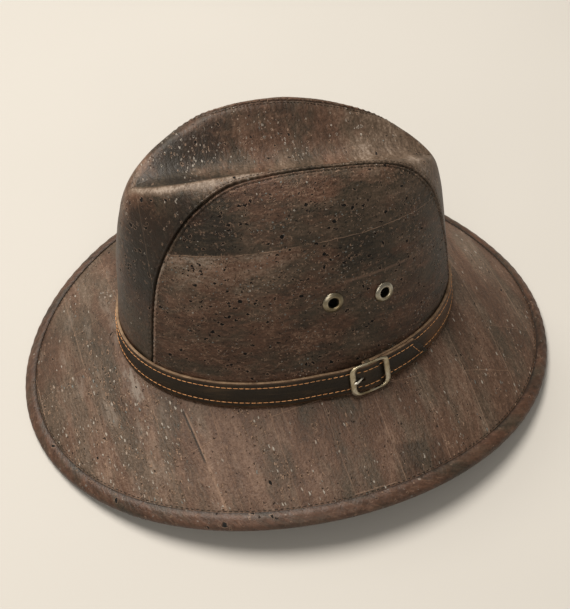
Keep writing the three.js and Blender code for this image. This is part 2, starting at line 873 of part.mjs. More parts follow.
// The finished hat
const hat = new THREE.Group();
const finish = {
  cork: { color: colours.cork, roughness: 0.62, metalness: 0 },
  corkEdge: { color: colours.corkEdge, roughness: 0.6, metalness: 0 },
  leather: { color: colours.leather, roughness: 0.5, metalness: 0 },
  brass: { color: colours.brass, roughness: 0.35, metalness: 1 },
};

function piece(name, geometry, look) {
  const mesh = new THREE.Mesh(geometry, new THREE.MeshStandardMaterial(finish[look]));
  mesh.name = name;
  hat.add(mesh);
  return mesh;
}

const leftPanel = leftPanelWithHoles();
piece('crown_side_left', leftPanel, 'cork');
piece('crown_side_right', mirrored(leftPanel), 'cork');
piece('crown_centre', centrePanel(), 'cork');
piece('brim', aroundBrim(brimSection), 'cork');
piece('brim_binding', aroundBrim(bindingSection), 'corkEdge');
piece('hat_band', strap(), 'leather');
piece('buckle_frame', buckleFrame(), 'brass');
piece('buckle_prong', prong(), 'brass');
[['left', 1], ['right', -1]].forEach(([side, sign]) => {
  eyeletTable.forEach((row) => {
    const { point, turn } = eyeletPlace(row, sign);
    const mesh = piece(`eyelet_${side}_${row.name}`, eyelet(), 'brass');
    mesh.position.copy(point);
    mesh.quaternion.copy(turn);
  });
});

export default hat;
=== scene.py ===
import bisect
import math

import bmesh
import bpy
from mathutils import Matrix, Vector, kdtree, noise


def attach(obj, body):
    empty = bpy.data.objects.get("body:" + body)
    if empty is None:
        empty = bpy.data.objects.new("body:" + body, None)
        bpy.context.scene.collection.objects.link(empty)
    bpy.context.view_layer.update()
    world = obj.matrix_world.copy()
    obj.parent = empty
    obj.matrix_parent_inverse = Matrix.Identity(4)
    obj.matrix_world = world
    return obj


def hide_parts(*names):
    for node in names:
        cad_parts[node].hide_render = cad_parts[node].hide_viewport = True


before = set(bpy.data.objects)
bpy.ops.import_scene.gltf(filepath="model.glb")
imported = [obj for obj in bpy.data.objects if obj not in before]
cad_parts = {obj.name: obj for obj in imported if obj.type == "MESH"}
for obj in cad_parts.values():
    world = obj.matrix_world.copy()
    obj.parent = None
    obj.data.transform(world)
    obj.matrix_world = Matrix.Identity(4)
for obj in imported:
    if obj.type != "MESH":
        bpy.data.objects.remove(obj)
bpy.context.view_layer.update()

# Camera, at the photograph's angle
camera = {
    "place": (0.476431, -0.123034, 0.555820),
    "azimuth": 75.590,
    "elevation": 46.270,
    "roll": -2.379,
    "lens": 66.22,
}


def placeCamera(view):
    data = bpy.data.cameras.new("photoCamera")
    data.lens = view["lens"]
    data.sensor_width = 36
    data.clip_start = 0.02
    data.clip_end = 20
    thing = bpy.data.objects.new("photoCamera", data)
    bpy.context.scene.collection.objects.link(thing)
    azimuth = math.radians(view["azimuth"])
    elevation = math.radians(view["elevation"])
    roll = math.radians(view["roll"])
    back = Vector((
        math.sin(azimuth) * math.cos(elevation),
        -math.cos(azimuth) * math.cos(elevation),
        math.sin(elevation),
    ))
    level = Vector((math.cos(azimuth), math.sin(azimuth), 0))
    upright = back.cross(level)
    right = math.cos(roll) * level + math.sin(roll) * upright
    up = -math.sin(roll) * level + math.cos(roll) * upright
    turn = Matrix((right, up, back)).transposed().to_4x4()
    thing.matrix_world = Matrix.Translation(view["place"]) @ turn
    bpy.context.scene.camera = thing


placeCamera(camera)
bpy.context.scene.view_settings.view_transform = "Standard"
print("camera placed")

# The hat's shape, with the same values as its solids
hat = {
    "headLength": 211.3, "headWidth": 166.6, "footHeight": 44.1, "footSaddle": 2.6,
    "crownWall": 2.0,
    "frontHeight": 116.0, "backHeight": 95.8,
    "ridgeRise": 25.6, "ridgeBow": 1.68, "ridgeLength": 174.0, "ridgeShift": 3.0,
    "ridgeApart": 61.8, "ridgePinch": 1.28,
    "creaseDepth": 20.0, "creaseTipRise": 2.0, "creaseShort": 0.94, "creaseFold": 0.74,
    "wallRise": 0.62, "leanFront": 0.069, "leanBack": 0.104, "leanSide": 0.268,
    "roundEnds": 8.1, "roundSides": 21.6,
    "brimLength": 342.8, "brimWidth": 298.3, "brimThickness": 2.6, "brimBulge": 2.5,
    "brimSideLift": 18.4, "brimLiftShape": 1.9, "restHalfAngle": 12.0,
    "bindingThickness": 6.0, "bindingWidth": 10.0, "slotDepth": 6.5, "restFlat": 0.5,
    "clearance": 0.3,
}
nudge = 0.01


def mix(low, high, share):
    return low + (high - low) * share


def smoothStep(value, low, high):
    share = min(max((value - low) / (high - low), 0.0), 1.0)
    return share * share * (3 - 2 * share)


def fall(value, low, high):
    return 1 - smoothStep(value, low, high)


# up from low to full, and down again from fade to end
def within(value, low, full, fade, end):
    return smoothStep(value, low, full) * fall(value, fade, end)


def bell(value, reach):
    return math.exp(-(value / reach) ** 2)


# 1 with an even rim that turns down to 0 as the share goes to 0
def rounded(share):
    return math.sqrt(max(1 - (1 - share) ** 2, 0.0))


def noiseAt(x, y, z):
    return noise.noise(Vector((x, y, z)))


def mirrored(point, side):
    return Vector((side * point.x, point.y, point.z))


def lengthsAlong(points):
    lengths = [0.0]
    for before, here in zip(points, points[1:]):
        lengths.append(lengths[-1] + (here - before).length)
    return lengths


# where a length falls in a table of growing lengths: the step, and the share of it
def stepAt(lengths, target):
    low = min(max(bisect.bisect_right(lengths, target) - 1, 0), len(lengths) - 2)
    return low, (target - lengths[low]) / (lengths[low + 1] - lengths[low])


def foot(angle):
    return Vector((
        hat["headWidth"] / 2 * math.sin(angle),
        -hat["headLength"] / 2 * math.cos(angle),
        hat["footHeight"] - hat["footSaddle"] * math.cos(2 * angle),
    ))


def outwardAt(angle):
    across = math.sin(angle) / hat["headWidth"]
    along = -math.cos(angle) / hat["headLength"]
    return Vector((across, along, 0)).normalized()


def ridge(angle):
    side = abs(math.sin(angle))
    sign = math.copysign(1, math.sin(angle))
    height = mix(hat["backHeight"], hat["frontHeight"], (1 + math.cos(angle)) / 2)
    return Vector((
        sign * hat["ridgeApart"] / 2 * side ** hat["ridgePinch"],
        hat["ridgeShift"] - hat["ridgeLength"] / 2 * math.cos(angle),
        hat["footHeight"] + height + hat["ridgeRise"] * side ** hat["ridgeBow"],
    ))


def creaseFloor(angle):
    depth = mix(-hat["creaseTipRise"], hat["creaseDepth"], math.sin(angle) ** 2)
    reach = hat["ridgeLength"] / 2 * hat["creaseShort"]
    return Vector((0, hat["ridgeShift"] - reach * math.cos(angle), ridge(angle).z - depth))


def wallPoint(angle, share):
    start = foot(angle)
    end = ridge(angle)
    out = outwardAt(angle)
    side = math.sin(angle) ** 2
    lean = mix(hat["leanFront"] if math.cos(angle) > 0 else hat["leanBack"], hat["leanSide"], side)
    straight = (end.z - start.z) * hat["wallRise"]
    lower = start - out * (lean * straight)
    lower.z += straight
    upper = end + out * mix(hat["roundEnds"], hat["roundSides"], side)
    back = 1 - share
    return (start * back ** 3 + lower * (3 * back * back * share)
            + upper * (3 * back * share * share) + end * share ** 3)


# height 0 to 1 is the wall, 1 to 2 runs from the ridge down into the crease
def crownPoint(angle, height):
    if height <= 1:
        return wallPoint(angle, height)
    top = ridge(angle)
    floor = creaseFloor(angle)
    share = height - 1
    point = top.lerp(floor, share)
    point.z = mix(top.z, floor.z, (1 - math.cos(math.pi * share ** hat["creaseFold"])) / 2)
    return point


def crownNormal(angle, height):
    inCrease = height > 1
    low = max(height - nudge, 1 if inCrease else -1)
    high = min(height + nudge, 2 if inCrease else 1)
    up = crownPoint(angle, high) - crownPoint(angle, low)
    if abs(math.sin(angle)) < 1e-6:
        return (Vector((0, -up.z, up.y)) * math.cos(angle)).normalized()
    along = crownPoint(angle + nudge, height) - crownPoint(angle - nudge, height)
    return along.cross(up).normalized()


def lengthAround(start, steps=1440):
    return lengthsAlong([foot(start + 2 * math.pi * i / steps) for i in range(steps + 1)])


aroundTable = lengthAround(math.pi / 2)
bandLength = aroundTable[-1]


# how far round the head an angle lies from the middle of the left side
def arcAt(angle):
    place = (angle - math.pi / 2) / (2 * math.pi) * (len(aroundTable) - 1)
    low = min(max(math.floor(abs(place)), 0), len(aroundTable) - 2)
    return math.copysign(mix(aroundTable[low], aroundTable[low + 1], abs(place) - low), place)


# The seam of a side panel: degrees from the front, and share of the wall's height
seam = {
    "table": [
        (27, 0), (28.7, 0.15), (30.3, 0.3), (33, 0.41), (38, 0.52), (45, 0.645), (55, 0.79),
        (66, 0.915), (80, 0.965), (97, 0.98), (112, 0.98), (124, 0.955), (133, 0.88),
        (142, 0.745), (150, 0.59), (157, 0.4), (161, 0.2), (163, 0),
    ],
    "frontCorner": 4,
    "backCorner": 13,
    "legSteps": 11,
    "topSteps": 30,
}


def seamPlace(share):
    table = seam["table"]
    spot = (len(table) - 1) * share
    first = min(int(spot), len(table) - 2)
    t = spot - first
    rows = [table[min(max(first + k, 0), len(table) - 1)] for k in (-1, 0, 1, 2)]
    found = []
    for axis in (0, 1):
        p0, p1, p2, p3 = (row[axis] for row in rows)
        v0 = (p2 - p0) / 2
        v1 = (p3 - p1) / 2
        found.append(
            (2 * p1 - 2 * p2 + v0 + v1) * t ** 3 + (3 * p2 - 3 * p1 - 2 * v0 - v1) * t * t + v0 * t + p1
        )
    return math.radians(found[0]), min(max(found[1], 0), 1)


# a place on the crown by its share of the way along a line, with even steps
def evenLine(place, start, end, fine=400):
    lengths = lengthsAlong([crownPoint(*place(mix(start, end, i / fine))) for i in range(fine + 1)])

    def at(share):
        low, part = stepAt(lengths, lengths[-1] * min(max(share, 0), 1))
        return place(mix(start, end, (low + part) / fine))

    return at


seamLast = len(seam["table"]) - 1
frontLeg = evenLine(seamPlace, 0, seam["frontCorner"] / seamLast)
topStretch = evenLine(seamPlace, seam["frontCorner"] / seamLast, seam["backCorner"] / seamLast)
backLeg = evenLine(seamPlace, seam["backCorner"] / seamLast, 1)


def seamLine(row):
    legs = seam["legSteps"]
    tops = seam["topSteps"]
    if row < legs:
        return frontLeg(row / legs)
    if row < legs + tops:
        return topStretch((row - legs) / tops)
    return backLeg((row - legs - tops) / legs)


seamRows = 2 * seam["legSteps"] + seam["topSteps"]

# Every vertex near a seam asks how far off it lies, and where along it
seamSteps = 1600
seamTree = kdtree.KDTree(seamSteps + 1)
seamPoints = [crownPoint(*seamLine(seamRows * i / seamSteps)) for i in range(seamSteps + 1)]
seamLengths = [0.0, *lengthsAlong(seamPoints)]
for i, seamPoint in enumerate(seamPoints):
    seamTree.insert(seamPoint, i)
seamTree.balance()

# Relief of the sewn crown: the seam's crease, its turned-in edges, soft dents
relief = {
    "creaseDepth": 2.0, "creaseHalf": 0.75,
    "welt": {"side": 0.5, "centre": 0.3},
    "edgeRise": 0.4, "edgeWidth": 7.0,
    "stitchLine": 2.3, "stitchDent": 0.16,
    "pucker": 0.22, "puckerPitch": 4.0,
    "dent": 0.55, "dentSize": 30.0, "smallDent": 0.16, "smallSize": 10.0,
    "calmFoot": 16.0,
}
eyelets = {
    "places": [("front", 95.3, 0.287), ("back", 114.5, 0.274)],
    "flange": 12.4, "hole": 6.2, "metal": 0.5, "crown": 1.3, "washer": 10.4,
}


def eyeletSpot(degrees, share, side):
    angle = math.radians(degrees)
    point = crownPoint(angle, share)
    normal = crownNormal(angle, share)
    point.x *= side
    normal.x *= side
    return point, normal


eyeletPoints = [eyeletSpot(degrees, share, 1)[0] for name, degrees, share in eyelets["places"]]


def reliefAt(point, panel):
    near = mirrored(point, math.copysign(1, point.x))
    found, index, away = seamTree.find(near)
    crease = -relief["creaseDepth"] * bell(away, relief["creaseHalf"])
    line = relief["stitchLine"]
    welt = relief["welt"][panel] * fall(away, line - 0.9, line)
    edge = relief["edgeRise"] * fall(away, line + 0.4, line + relief["edgeWidth"])
    edge += welt - relief["stitchDent"] * bell(away - line, 0.5)
    turn = math.copysign(1.3, point.x) + 2 * math.pi * seamLengths[index] / relief["puckerPitch"]
    slow = noiseAt(seamLengths[index] / 31, point.x / 60, 2)
    pucker = relief["pucker"] * (math.sin(turn + 3 * slow) + 0.8 * slow) * bell(away - 2, 2.6)
    dent = relief["dent"] * noise.noise(point / relief["dentSize"] + Vector((3.1, 7.7, 1.9)))
    dent += relief["smallDent"] * noise.noise(point / relief["smallSize"])
    calm = smoothStep(point.z - hat["footHeight"], 3, relief["calmFoot"])
    for spot in eyeletPoints:
        calm *= smoothStep((near - spot).length, 7.5, 15)
    return crease + edge + pucker + dent * calm


# how pale the cork is beside the seam, on the raised welt, partly wear and partly painted highlight, and how
# dark its crease is, in painted shade
def seamTones(point):
    found, index, away = seamTree.find(Vector((abs(point.x), point.y, point.z)))
    return within(away, 0.8, 1.3, 2.0, 2.8), 1.6 * fall(away, 0.4, 1.1)


# Grids are bent into shape: every vertex of a flat grid is moved to its place on the hat
def bentGrid(across, along, place, spread):
    bm = bmesh.new()
    bmesh.ops.create_grid(bm, x_segments=across, y_segments=along, size=0.5)
    spots = [(vert.co.x + 0.5, vert.co.y + 0.5) for vert in bm.verts]
    grain = bm.loops.layers.uv.new("grain")
    bm.verts.index_update()
    spreads = [spread(u, v) for u, v in spots]
    for face in bm.faces:
        for loop in face.loops:
            loop[grain].uv = spreads[loop.vert.index]
    for vert, (u, v) in zip(bm.verts, spots):
        vert.co = place(u, v)
    return bm


def weld(bm, apart=0.0005):
    bmesh.ops.remove_doubles(bm, verts=bm.verts[:], dist=apart)


def closeEnds(bm):
    bmesh.ops.holes_fill(bm, edges=[edge for edge in bm.edges if edge.is_boundary], sides=0)


def evenNormals(bm):
    bmesh.ops.recalc_face_normals(bm, faces=bm.faces[:])


def addMarks(bm, marks):
    for name, measure in marks.items():
        layer = bm.verts.layers.float.new(name)
        for vert in bm.verts:
            vert[layer] = measure(vert.co)


def facesOut(bm, outward):
    bm.normal_update()
    facing = (face.normal.dot(outward(face.calc_center_median())) * face.calc_area() for face in bm.faces)
    if sum(facing) < 0:
        bmesh.ops.reverse_faces(bm, faces=bm.faces[:])


def finishPiece(name, bm, materials, nodes=(), slotName=None, wall=None, sharp=None):
    bmesh.ops.scale(bm, vec=(0.001, 0.001, 0.001), verts=bm.verts[:])
    mesh = bpy.data.meshes.new(name)
    bm.to_mesh(mesh)
    bm.free()
    mesh.polygons.foreach_set("use_smooth", [True] * len(mesh.polygons))
    if sharp:
        mesh.set_sharp_from_angle(angle=math.radians(sharp))
    for material in materials:
        mesh.materials.append(material)
    piece = bpy.data.objects.new(name, mesh)
    bpy.context.scene.collection.objects.link(piece)
    if wall:
        solid = piece.modifiers.new("wall", "SOLIDIFY")
        solid.thickness = wall["thickness"] / 1000
        solid.offset = wall["offset"]
        solid.material_offset = wall.get("inside", 0)
        solid.material_offset_rim = 0
    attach(piece, "root")
    if nodes:
        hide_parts(*nodes)
    print("made", name, len(mesh.polygons), "faces")
    return piece


# Materials. A wire is a socket to reckon with: each sum written with it adds one Math node
class Wire:
    def __init__(self, socket):
        self.socket = socket
        self.tree = socket.id_data

    def reckon(self, operation, *values):
        return wire(self.tree, "ShaderNodeMath", dict(enumerate(values)), operation=operation)

    def __add__(self, other):
        return self.reckon("ADD", self, other)

    def __sub__(self, other):
        return self.reckon("SUBTRACT", self, other)

    def __mul__(self, other):
        return self.reckon("MULTIPLY", self, other)

    def __abs__(self):
        return self.reckon("ABSOLUTE", self)

    def above(self, other):
        return self.reckon("GREATER_THAN", self, other)

    def larger(self, other):
        return self.reckon("MAXIMUM", self, other)

    def smaller(self, other):
        return self.reckon("MINIMUM", self, other)


def feed(node, inputs):
    for key, value in inputs.items():
        if isinstance(value, Wire):
            value.tree.links.new(value.socket, node.inputs[key])
        else:
            node.inputs[key].default_value = value


def addNode(tree, kind, inputs, **settings):
    node = tree.nodes.new(kind)
    for key, value in settings.items():
        setattr(node, key, value)
    feed(node, inputs)
    return node


def wire(tree, kind, inputs=(), output=0, **settings):
    return Wire(addNode(tree, kind, dict(inputs), **settings).outputs[output])


def vectorSum(operation, first, second):
    return wire(first.tree, "ShaderNodeVectorMath", {0: first, 1: second}, operation=operation)


def stretched(coords, amounts):
    return vectorSum("MULTIPLY", coords, amounts)


def scaled(amounts, factor):
    return [amount * factor for amount in amounts]


def cloud(coords, scale, detail=3.0, rough=0.55, distortion=0.0):
    return wire(coords.tree, "ShaderNodeTexNoise", {
        "Vector": coords, "Scale": scale, "Detail": detail, "Roughness": rough, "Distortion": distortion,
    })


# cloud with its scale in each direction
def streaks(coords, scales, detail=3, rough=0.55, distortion=0.0):
    return cloud(stretched(coords, scales), 1, detail, rough, distortion)


def between(value, low, high, first=0.0, second=1.0):
    return wire(value.tree, "ShaderNodeMapRange", {0: value, 1: low, 2: high, 3: first, 4: second},
                interpolation_type="SMOOTHSTEP")


# 1 up to low, 0 from high
def fading(value, low, high):
    return between(value, low, high, 1.0, 0.0)


def blend(share, first, second):
    tree = next(value.tree for value in (share, first, second) if isinstance(value, Wire))
    node = addNode(tree, "ShaderNodeMix", {}, data_type="RGBA", clamp_factor=True)
    feed(node, {0: share})
    feed(node, {k: v if isinstance(v, Wire) else (*v, 1) for k, v in ((6, first), (7, second))})
    return Wire(node.outputs[2])


def tones(value, stops):
    node = addNode(value.tree, "ShaderNodeValToRGB", {0: value})
    ramp = node.color_ramp
    while len(ramp.elements) < len(stops):
        ramp.elements.new(0.5)
    for element, (place, colour) in zip(ramp.elements, stops):
        element.position = place
        element.color = (*colour, 1)
    return Wire(node.outputs[0])


def newMaterial(name, specular=0.5):
    material = bpy.data.materials.new(name)
    material.use_nodes = True
    shader = material.node_tree.nodes["Principled BSDF"]
    shader.inputs["Specular IOR Level"].default_value = specular
    return material, material.node_tree, shader


def objectCoords(tree):
    return wire(tree, "ShaderNodeTexCoord", output="Object")


def grainCoords(tree):
    return wire(tree, "ShaderNodeUVMap", uv_map="grain")


def painted(tree, layer):
    return wire(tree, "ShaderNodeAttribute", output="Fac", attribute_name=layer)


def bump(height, strength, distance):
    inputs = {"Height": height, "Strength": strength, "Distance": distance}
    return wire(height.tree, "ShaderNodeBump", inputs)


# Cork fabric: thin shavings laid side by side, mottled olive and rust along the grain, with
# rust-pale outlines, small pale specks, some of them rings, and black pits
corkColours = {
    "deep": (0.0150, 0.0112, 0.0074),
    "olive": (0.0330, 0.0245, 0.0158),
    "brown": (0.0630, 0.0425, 0.0280),
    "light": (0.1120, 0.0790, 0.0560),
    "pale": (0.2250, 0.1780, 0.1420),
    "rustDeep": (0.0250, 0.0125, 0.0070),
    "rust": (0.0830, 0.0405, 0.0245),
    "rustPale": (0.1850, 0.1120, 0.0780),
    "outline": (0.2450, 0.1600, 0.1100),
    "fleck": (0.3000, 0.2700, 0.2350),
    "ash": (0.1350, 0.1420, 0.1330),
    "scuff": (0.1850, 0.1550, 0.1300),
    "pit": (0.0015, 0.0012, 0.0010),
}
toneStep = 0.30
oliveStops = ["deep", "olive", "brown", "light", "pale"]
rustStops = ["rustDeep", "rust", "rustPale"]

# coordinates pushed about by a fine cloud: its scale, and how far it pushes in metres
pushes = {
    "warped": (70, 0.007),
    "uneven": (900, 0.0011),
    "patchy": (160, 0.0012),
    "crumbled": (800, 0.0016),
    "ragged": (430, 0.0034),
}


def pushed(coords, kind):
    scale, amount = pushes[kind]
    clouds = wire(coords.tree, "ShaderNodeTexNoise", {"Vector": coords, "Scale": scale, "Detail": 2}, "Color")
    offset = vectorSum("SUBTRACT", clouds, (0.5, 0.5, 0.5))
    return vectorSum("ADD", coords, stretched(offset, (amount, amount, amount)))


def corkRamp(value, names):
    last = len(names) - 1
    return tones(value, [(k / last, corkColours[name]) for k, name in enumerate(names)])


# scattered spots: the distance from the nearest one, and three random numbers of its own
def spots(coords, grid):
    found = addNode(coords.tree, "ShaderNodeTexVoronoi", {
        "Vector": stretched(coords, grid), "Scale": 1, "Randomness": 1,
    })
    picks = addNode(coords.tree, "ShaderNodeSeparateColor", {0: Wire(found.outputs["Color"])})
    return [Wire(socket) for socket in (found.outputs["Distance"], *picks.outputs)]


# a single mark lying nearly along the grain: from x to x, at height y and a slight slope
def strokeMark(coords, stroke):
    parts = addNode(coords.tree, "ShaderNodeSeparateXYZ", {0: coords}).outputs
    x = Wire(parts[0])
    level = (x - stroke["from"]) * stroke["slope"] + stroke["level"]
    mark = fading(abs(Wire(parts[1]) - level), stroke["width"] * 0.3, stroke["width"])
    mark = mark * between(x, stroke["from"], stroke["from"] + 0.003)
    return mark * fading(x, stroke["to"] - 0.003, stroke["to"]) * stroke["strength"]


def corkFinish(name, look):
    material, tree, shader = newMaterial(name, look["specular"])
    coords = objectCoords(tree) if look["coords"] == "object" else grainCoords(tree)
    turned = wire(tree, "ShaderNodeMapping", {
        "Vector": coords,
        "Rotation": (0, 0, math.radians(look.get("turn", 0))),
        "Location": look.get("shift", (0, 0, 0)),
    })
    warped = pushed(turned, "warped")
    blotchScale = look["blotchScale"]
    layers = ("tone", "redness", "pitted", "flecked", "scuffed")
    tone, redness, pitted, flecked, scuffed = (painted(tree, layer) for layer in layers)

    patches = addNode(tree, "ShaderNodeTexBrick", {
        "Vector": pushed(turned, "patchy"), "Color1": (0, 0, 0, 1), "Color2": (1, 1, 1, 1),
        "Mortar": (0.5, 0.5, 0.5, 1), "Scale": 1, "Mortar Size": 0.0003, "Mortar Smooth": 0.7, "Bias": 0,
        "Brick Width": look["patch"][0], "Row Height": look["patch"][1],
    }, offset=0.37)
    clouds = {
        "grain": streaks(pushed(turned, "uneven"), look["grainScale"], 3, 0.66),
        "blotch": streaks(warped, blotchScale, 5, 0.62),
        "broad": cloud(turned, 15, 1),
        "speck": cloud(turned, 720, 2, 0.7),
        "patchStep": Wire(patches.outputs["Color"]),
    }
    value = tone * toneStep + look["base"]
    for kind, source in clouds.items():
        value = value + (source - 0.5) * look[kind]
    grain = clouds["grain"]
    blotch = clouds["blotch"]
    speck = clouds["speck"]
    hue = redness * 0.16 + streaks(warped, scaled(blotchScale, 0.6), 5, 0.65)
    rusty = between(hue, 0.42, 0.62) * look["red"]
    colour = blend(rusty, corkRamp(value, oliveStops), corkRamp(value, rustStops))

    # outlines round the blotches, here and there, and the joins between shavings
    contour = fading(abs(streaks(warped, scaled(blotchScale, 1.3), 3, 0.55, 0.4) - 0.53), 0.0, 0.024)
    contour = contour * between(hue, 0.44, 0.60).larger(flecked) * look["outlines"]
    contour = contour * between(grain, 0.40, 0.62)
    colour = blend(contour, colour, corkColours["outline"])
    join = between(blotch, 0.35, 0.6, 0.15, look["joins"]) * Wire(patches.outputs["Fac"])
    if look.get("levelJoins"):
        up = wire(tree, "ShaderNodeSeparateXYZ", {0: turned}, 1)
        join = join * fading(abs(up), 0.0012, 0.0022)
    colour = blend(join, colour, corkColours["outline"])

    # pale specks, thick in some places, and some of them rings round a dark dot
    zone = flecked * 0.3 + streaks(warped, look["zoneScale"])
    zone = between(zone, 0.38, 0.62, look["sparse"], look["dense"])
    away, pickA, pickB, pickC = spots(pushed(turned, "crumbled"), look["fleckGrid"])
    chosen = between(zone - pickA, -0.02, 0.06)
    fleck = between(pickB * pickB * 0.20 + 0.14 - away, -0.06, 0.06)
    ring = fading(abs(away - pickB * 0.14 - 0.24), 0.02, 0.10)
    isRing = pickC.above(0.62)
    fleck = ((ring - fleck) * isRing + fleck) * chosen * look["flecks"]
    rustier = between(pickC, look["paleShare"], look["paleShare"] + 0.25)
    fleckColour = blend(rustier, corkColours["fleck"], corkColours["outline"])
    fleckColour = blend(fading(pickC, 0.10, 0.12), fleckColour, corkColours["ash"])
    colour = blend(fleck, colour, fleckColour)
    dot = fading(away, 0.10, 0.20) * isRing * chosen

    colour = blend(scuffed * between(grain, 0.36, 0.60, 0.1, 0.8), colour, corkColours["scuff"])
    for stroke in look.get("strokes", ()):
        colour = blend(strokeMark(turned, stroke), colour, corkColours[stroke["colour"]])

    # black pits of every size, a little longer along the grain
    ragged = pushed(turned, "ragged")
    away, pickA, pickB, pickC = spots(ragged, look["pitGrid"])
    chosen = between(pitted * 0.35 + look["pitShare"] - pickA, 0.0, 0.02)
    big = (pitted * 0.5 + pickB * pickB * pickB).smaller(1.0)
    reach = (speck - 0.5) * 0.3 + (big * 0.24 + 0.13) - away
    pit = between(reach, -0.03, 0.03) * chosen
    lip = between(reach, -0.17, -0.06) * chosen
    away, pickA, pickB, pickC = spots(ragged, scaled(look["pitGrid"], 1.9))
    pinhole = between(pickB * 0.16 + 0.12 - away, -0.06, 0.06) * 0.8
    pinhole = pinhole * fading(pickA, look["pinholes"] - 0.02, look["pinholes"])
    pit = pit.larger(dot * look["dots"]).larger(pinhole)
    colour = blend(lip * 0.4, colour, corkColours["outline"])
    colour = blend(pit, colour, corkColours["pit"])

    height = grain * 0.7 + blotch * 0.5 + speck * 0.6 + fleck * 0.35
    height = height + contour * 0.15 + join * 0.3 - pit * 1.6
    feed(shader, {
        "Base Color": colour,
        "Roughness": (grain - 0.5) * 0.3 + look["roughness"] + pit * 0.35 + fleck * 0.12,
        "Normal": bump(height, look["relief"], 0.0009),
    })
    return material


corkLooks = {
    "corkSide": {
        "coords": "grain", "shift": (0.1745, 0.0, 0), "patch": (0.19, 0.12),
        "grainScale": (190, 520, 100), "blotchScale": (38, 105, 60), "zoneScale": (34, 60, 50),
        "base": 0.445, "grain": 1.00, "blotch": 1.05, "broad": 0.25, "speck": 0.85,
        "patchStep": 0.02, "red": 0.85, "outlines": 0.40, "joins": 1.0, "levelJoins": True,
        "fleckGrid": (520, 680, 100), "sparse": 0.05, "dense": 0.90, "flecks": 0.95, "paleShare": 0.4,
        "pitGrid": (250, 400, 100), "pitShare": 0.50, "pinholes": 0.34, "dots": 0.8,
        "roughness": 0.55, "specular": 0.26, "relief": 0.8,
        "strokes": [
            {"from": 0.190, "to": 0.243, "level": -0.027, "slope": 0.01, "width": 0.0011,
             "colour": "rustPale", "strength": 0.4},
        ],
    },
    "corkTop": {
        "coords": "object", "turn": 4, "patch": (0.13, 0.041),
        "grainScale": (150, 500, 350), "blotchScale": (30, 76, 55), "zoneScale": (24, 70, 50),
        "base": 0.48, "grain": 0.80, "blotch": 0.95, "broad": 0.25, "speck": 0.80,
        "patchStep": 0.08, "red": 0.7, "outlines": 0.2, "joins": 0.1,
        "fleckGrid": (300, 720, 500), "sparse": 0.08, "dense": 0.80, "flecks": 0.85, "paleShare": 0.65,
        "pitGrid": (230, 400, 350), "pitShare": 0.10, "pinholes": 0.16, "dots": 0.45,
        "roughness": 0.50, "specular": 0.27, "relief": 0.55,
    },
    "corkBrim": {
        "coords": "object", "turn": -3, "shift": (0.004, 0.0075, 0), "patch": (0.088, 0.031),
        "grainScale": (120, 500, 300), "blotchScale": (14, 78, 45), "zoneScale": (13, 55, 40),
        "base": 0.52, "grain": 0.70, "blotch": 0.85, "broad": 0.20, "speck": 0.75,
        "patchStep": 0.14, "red": 0.65, "outlines": 0.15, "joins": 0.5,
        "fleckGrid": (210, 620, 400), "sparse": 0.10, "dense": 0.95, "flecks": 0.9, "paleShare": 0.45,
        "pitGrid": (230, 420, 350), "pitShare": 0.06, "pinholes": 0.10, "dots": 0.4,
        "roughness": 0.56, "specular": 0.30, "relief": 1.0,
        "strokes": [
            {"from": 0.0620, "to": 0.0985, "level": -0.0773, "slope": 0.0955, "width": 0.0009,
             "colour": "deep", "strength": 0.85},
            {"from": 0.0640, "to": 0.0985, "level": -0.0761, "slope": 0.0955, "width": 0.0007,
             "colour": "outline", "strength": 0.5},
            {"from": 0.0980, "to": 0.1330, "level": -0.0730, "slope": 0.0800, "width": 0.0010,
             "colour": "outline", "strength": 0.45},
        ],
    },
    # its pattern is turned 32 degrees so that the streaks run slantwise across the strip: partly grain,
    # partly painted shade of its twisted puckers
    "corkBinding": {
        "coords": "grain", "turn": 32, "patch": (0.31, 0.09),
        "grainScale": (170, 460, 100), "blotchScale": (30, 110, 60), "zoneScale": (30, 60, 50),
        "base": 0.31, "grain": 0.75, "blotch": 0.85, "broad": 0.30, "speck": 0.6,
        "patchStep": 0.0, "red": 0.95, "outlines": 0.15, "joins": 0.0,
        "fleckGrid": (380, 480, 100), "sparse": 0.03, "dense": 0.30, "flecks": 0.45, "paleShare": 0.3,
        "pitGrid": (200, 300, 100), "pitShare": 0.05, "pinholes": 0.06, "dots": 0.4,
        "roughness": 0.48, "specular": 0.32, "relief": 0.6,
    },
}
corkFinishes = {name: corkFinish(name, look) for name, look in corkLooks.items()}


def backingFinish():
    material, tree, shader = newMaterial("clothBacking", 0.2)
    coords = objectCoords(tree)
    threads = {"Vector": coords, "Scale": 420, "Distortion": 0.6}
    warp, weft = (wire(tree, "ShaderNodeTexWave", threads, bands_direction=way) for way in "XZ")
    weave = warp * weft
    shade = weave * 0.35 + cloud(coords, 40) * 0.5
    feed(shader, {
        "Base Color": tones(shade, [(0.1, (0.030, 0.022, 0.016)), (0.7, (0.085, 0.062, 0.046))]),
        "Roughness": 0.9,
        "Normal": bump(weave, 0.5, 0.0003),
    })
    return material


leatherColours = {
    "waxed": [
        (0.25, (0.0065, 0.0044, 0.0022)), (0.48, (0.0145, 0.0098, 0.0050)), (0.72, (0.034, 0.022, 0.011)),
    ],
    "raw": [(0.3, (0.095, 0.058, 0.034)), (0.7, (0.27, 0.18, 0.11))],
    "wearAndSheen": (0.070, 0.042, 0.022),
    "tan": (0.105, 0.050, 0.022),
}


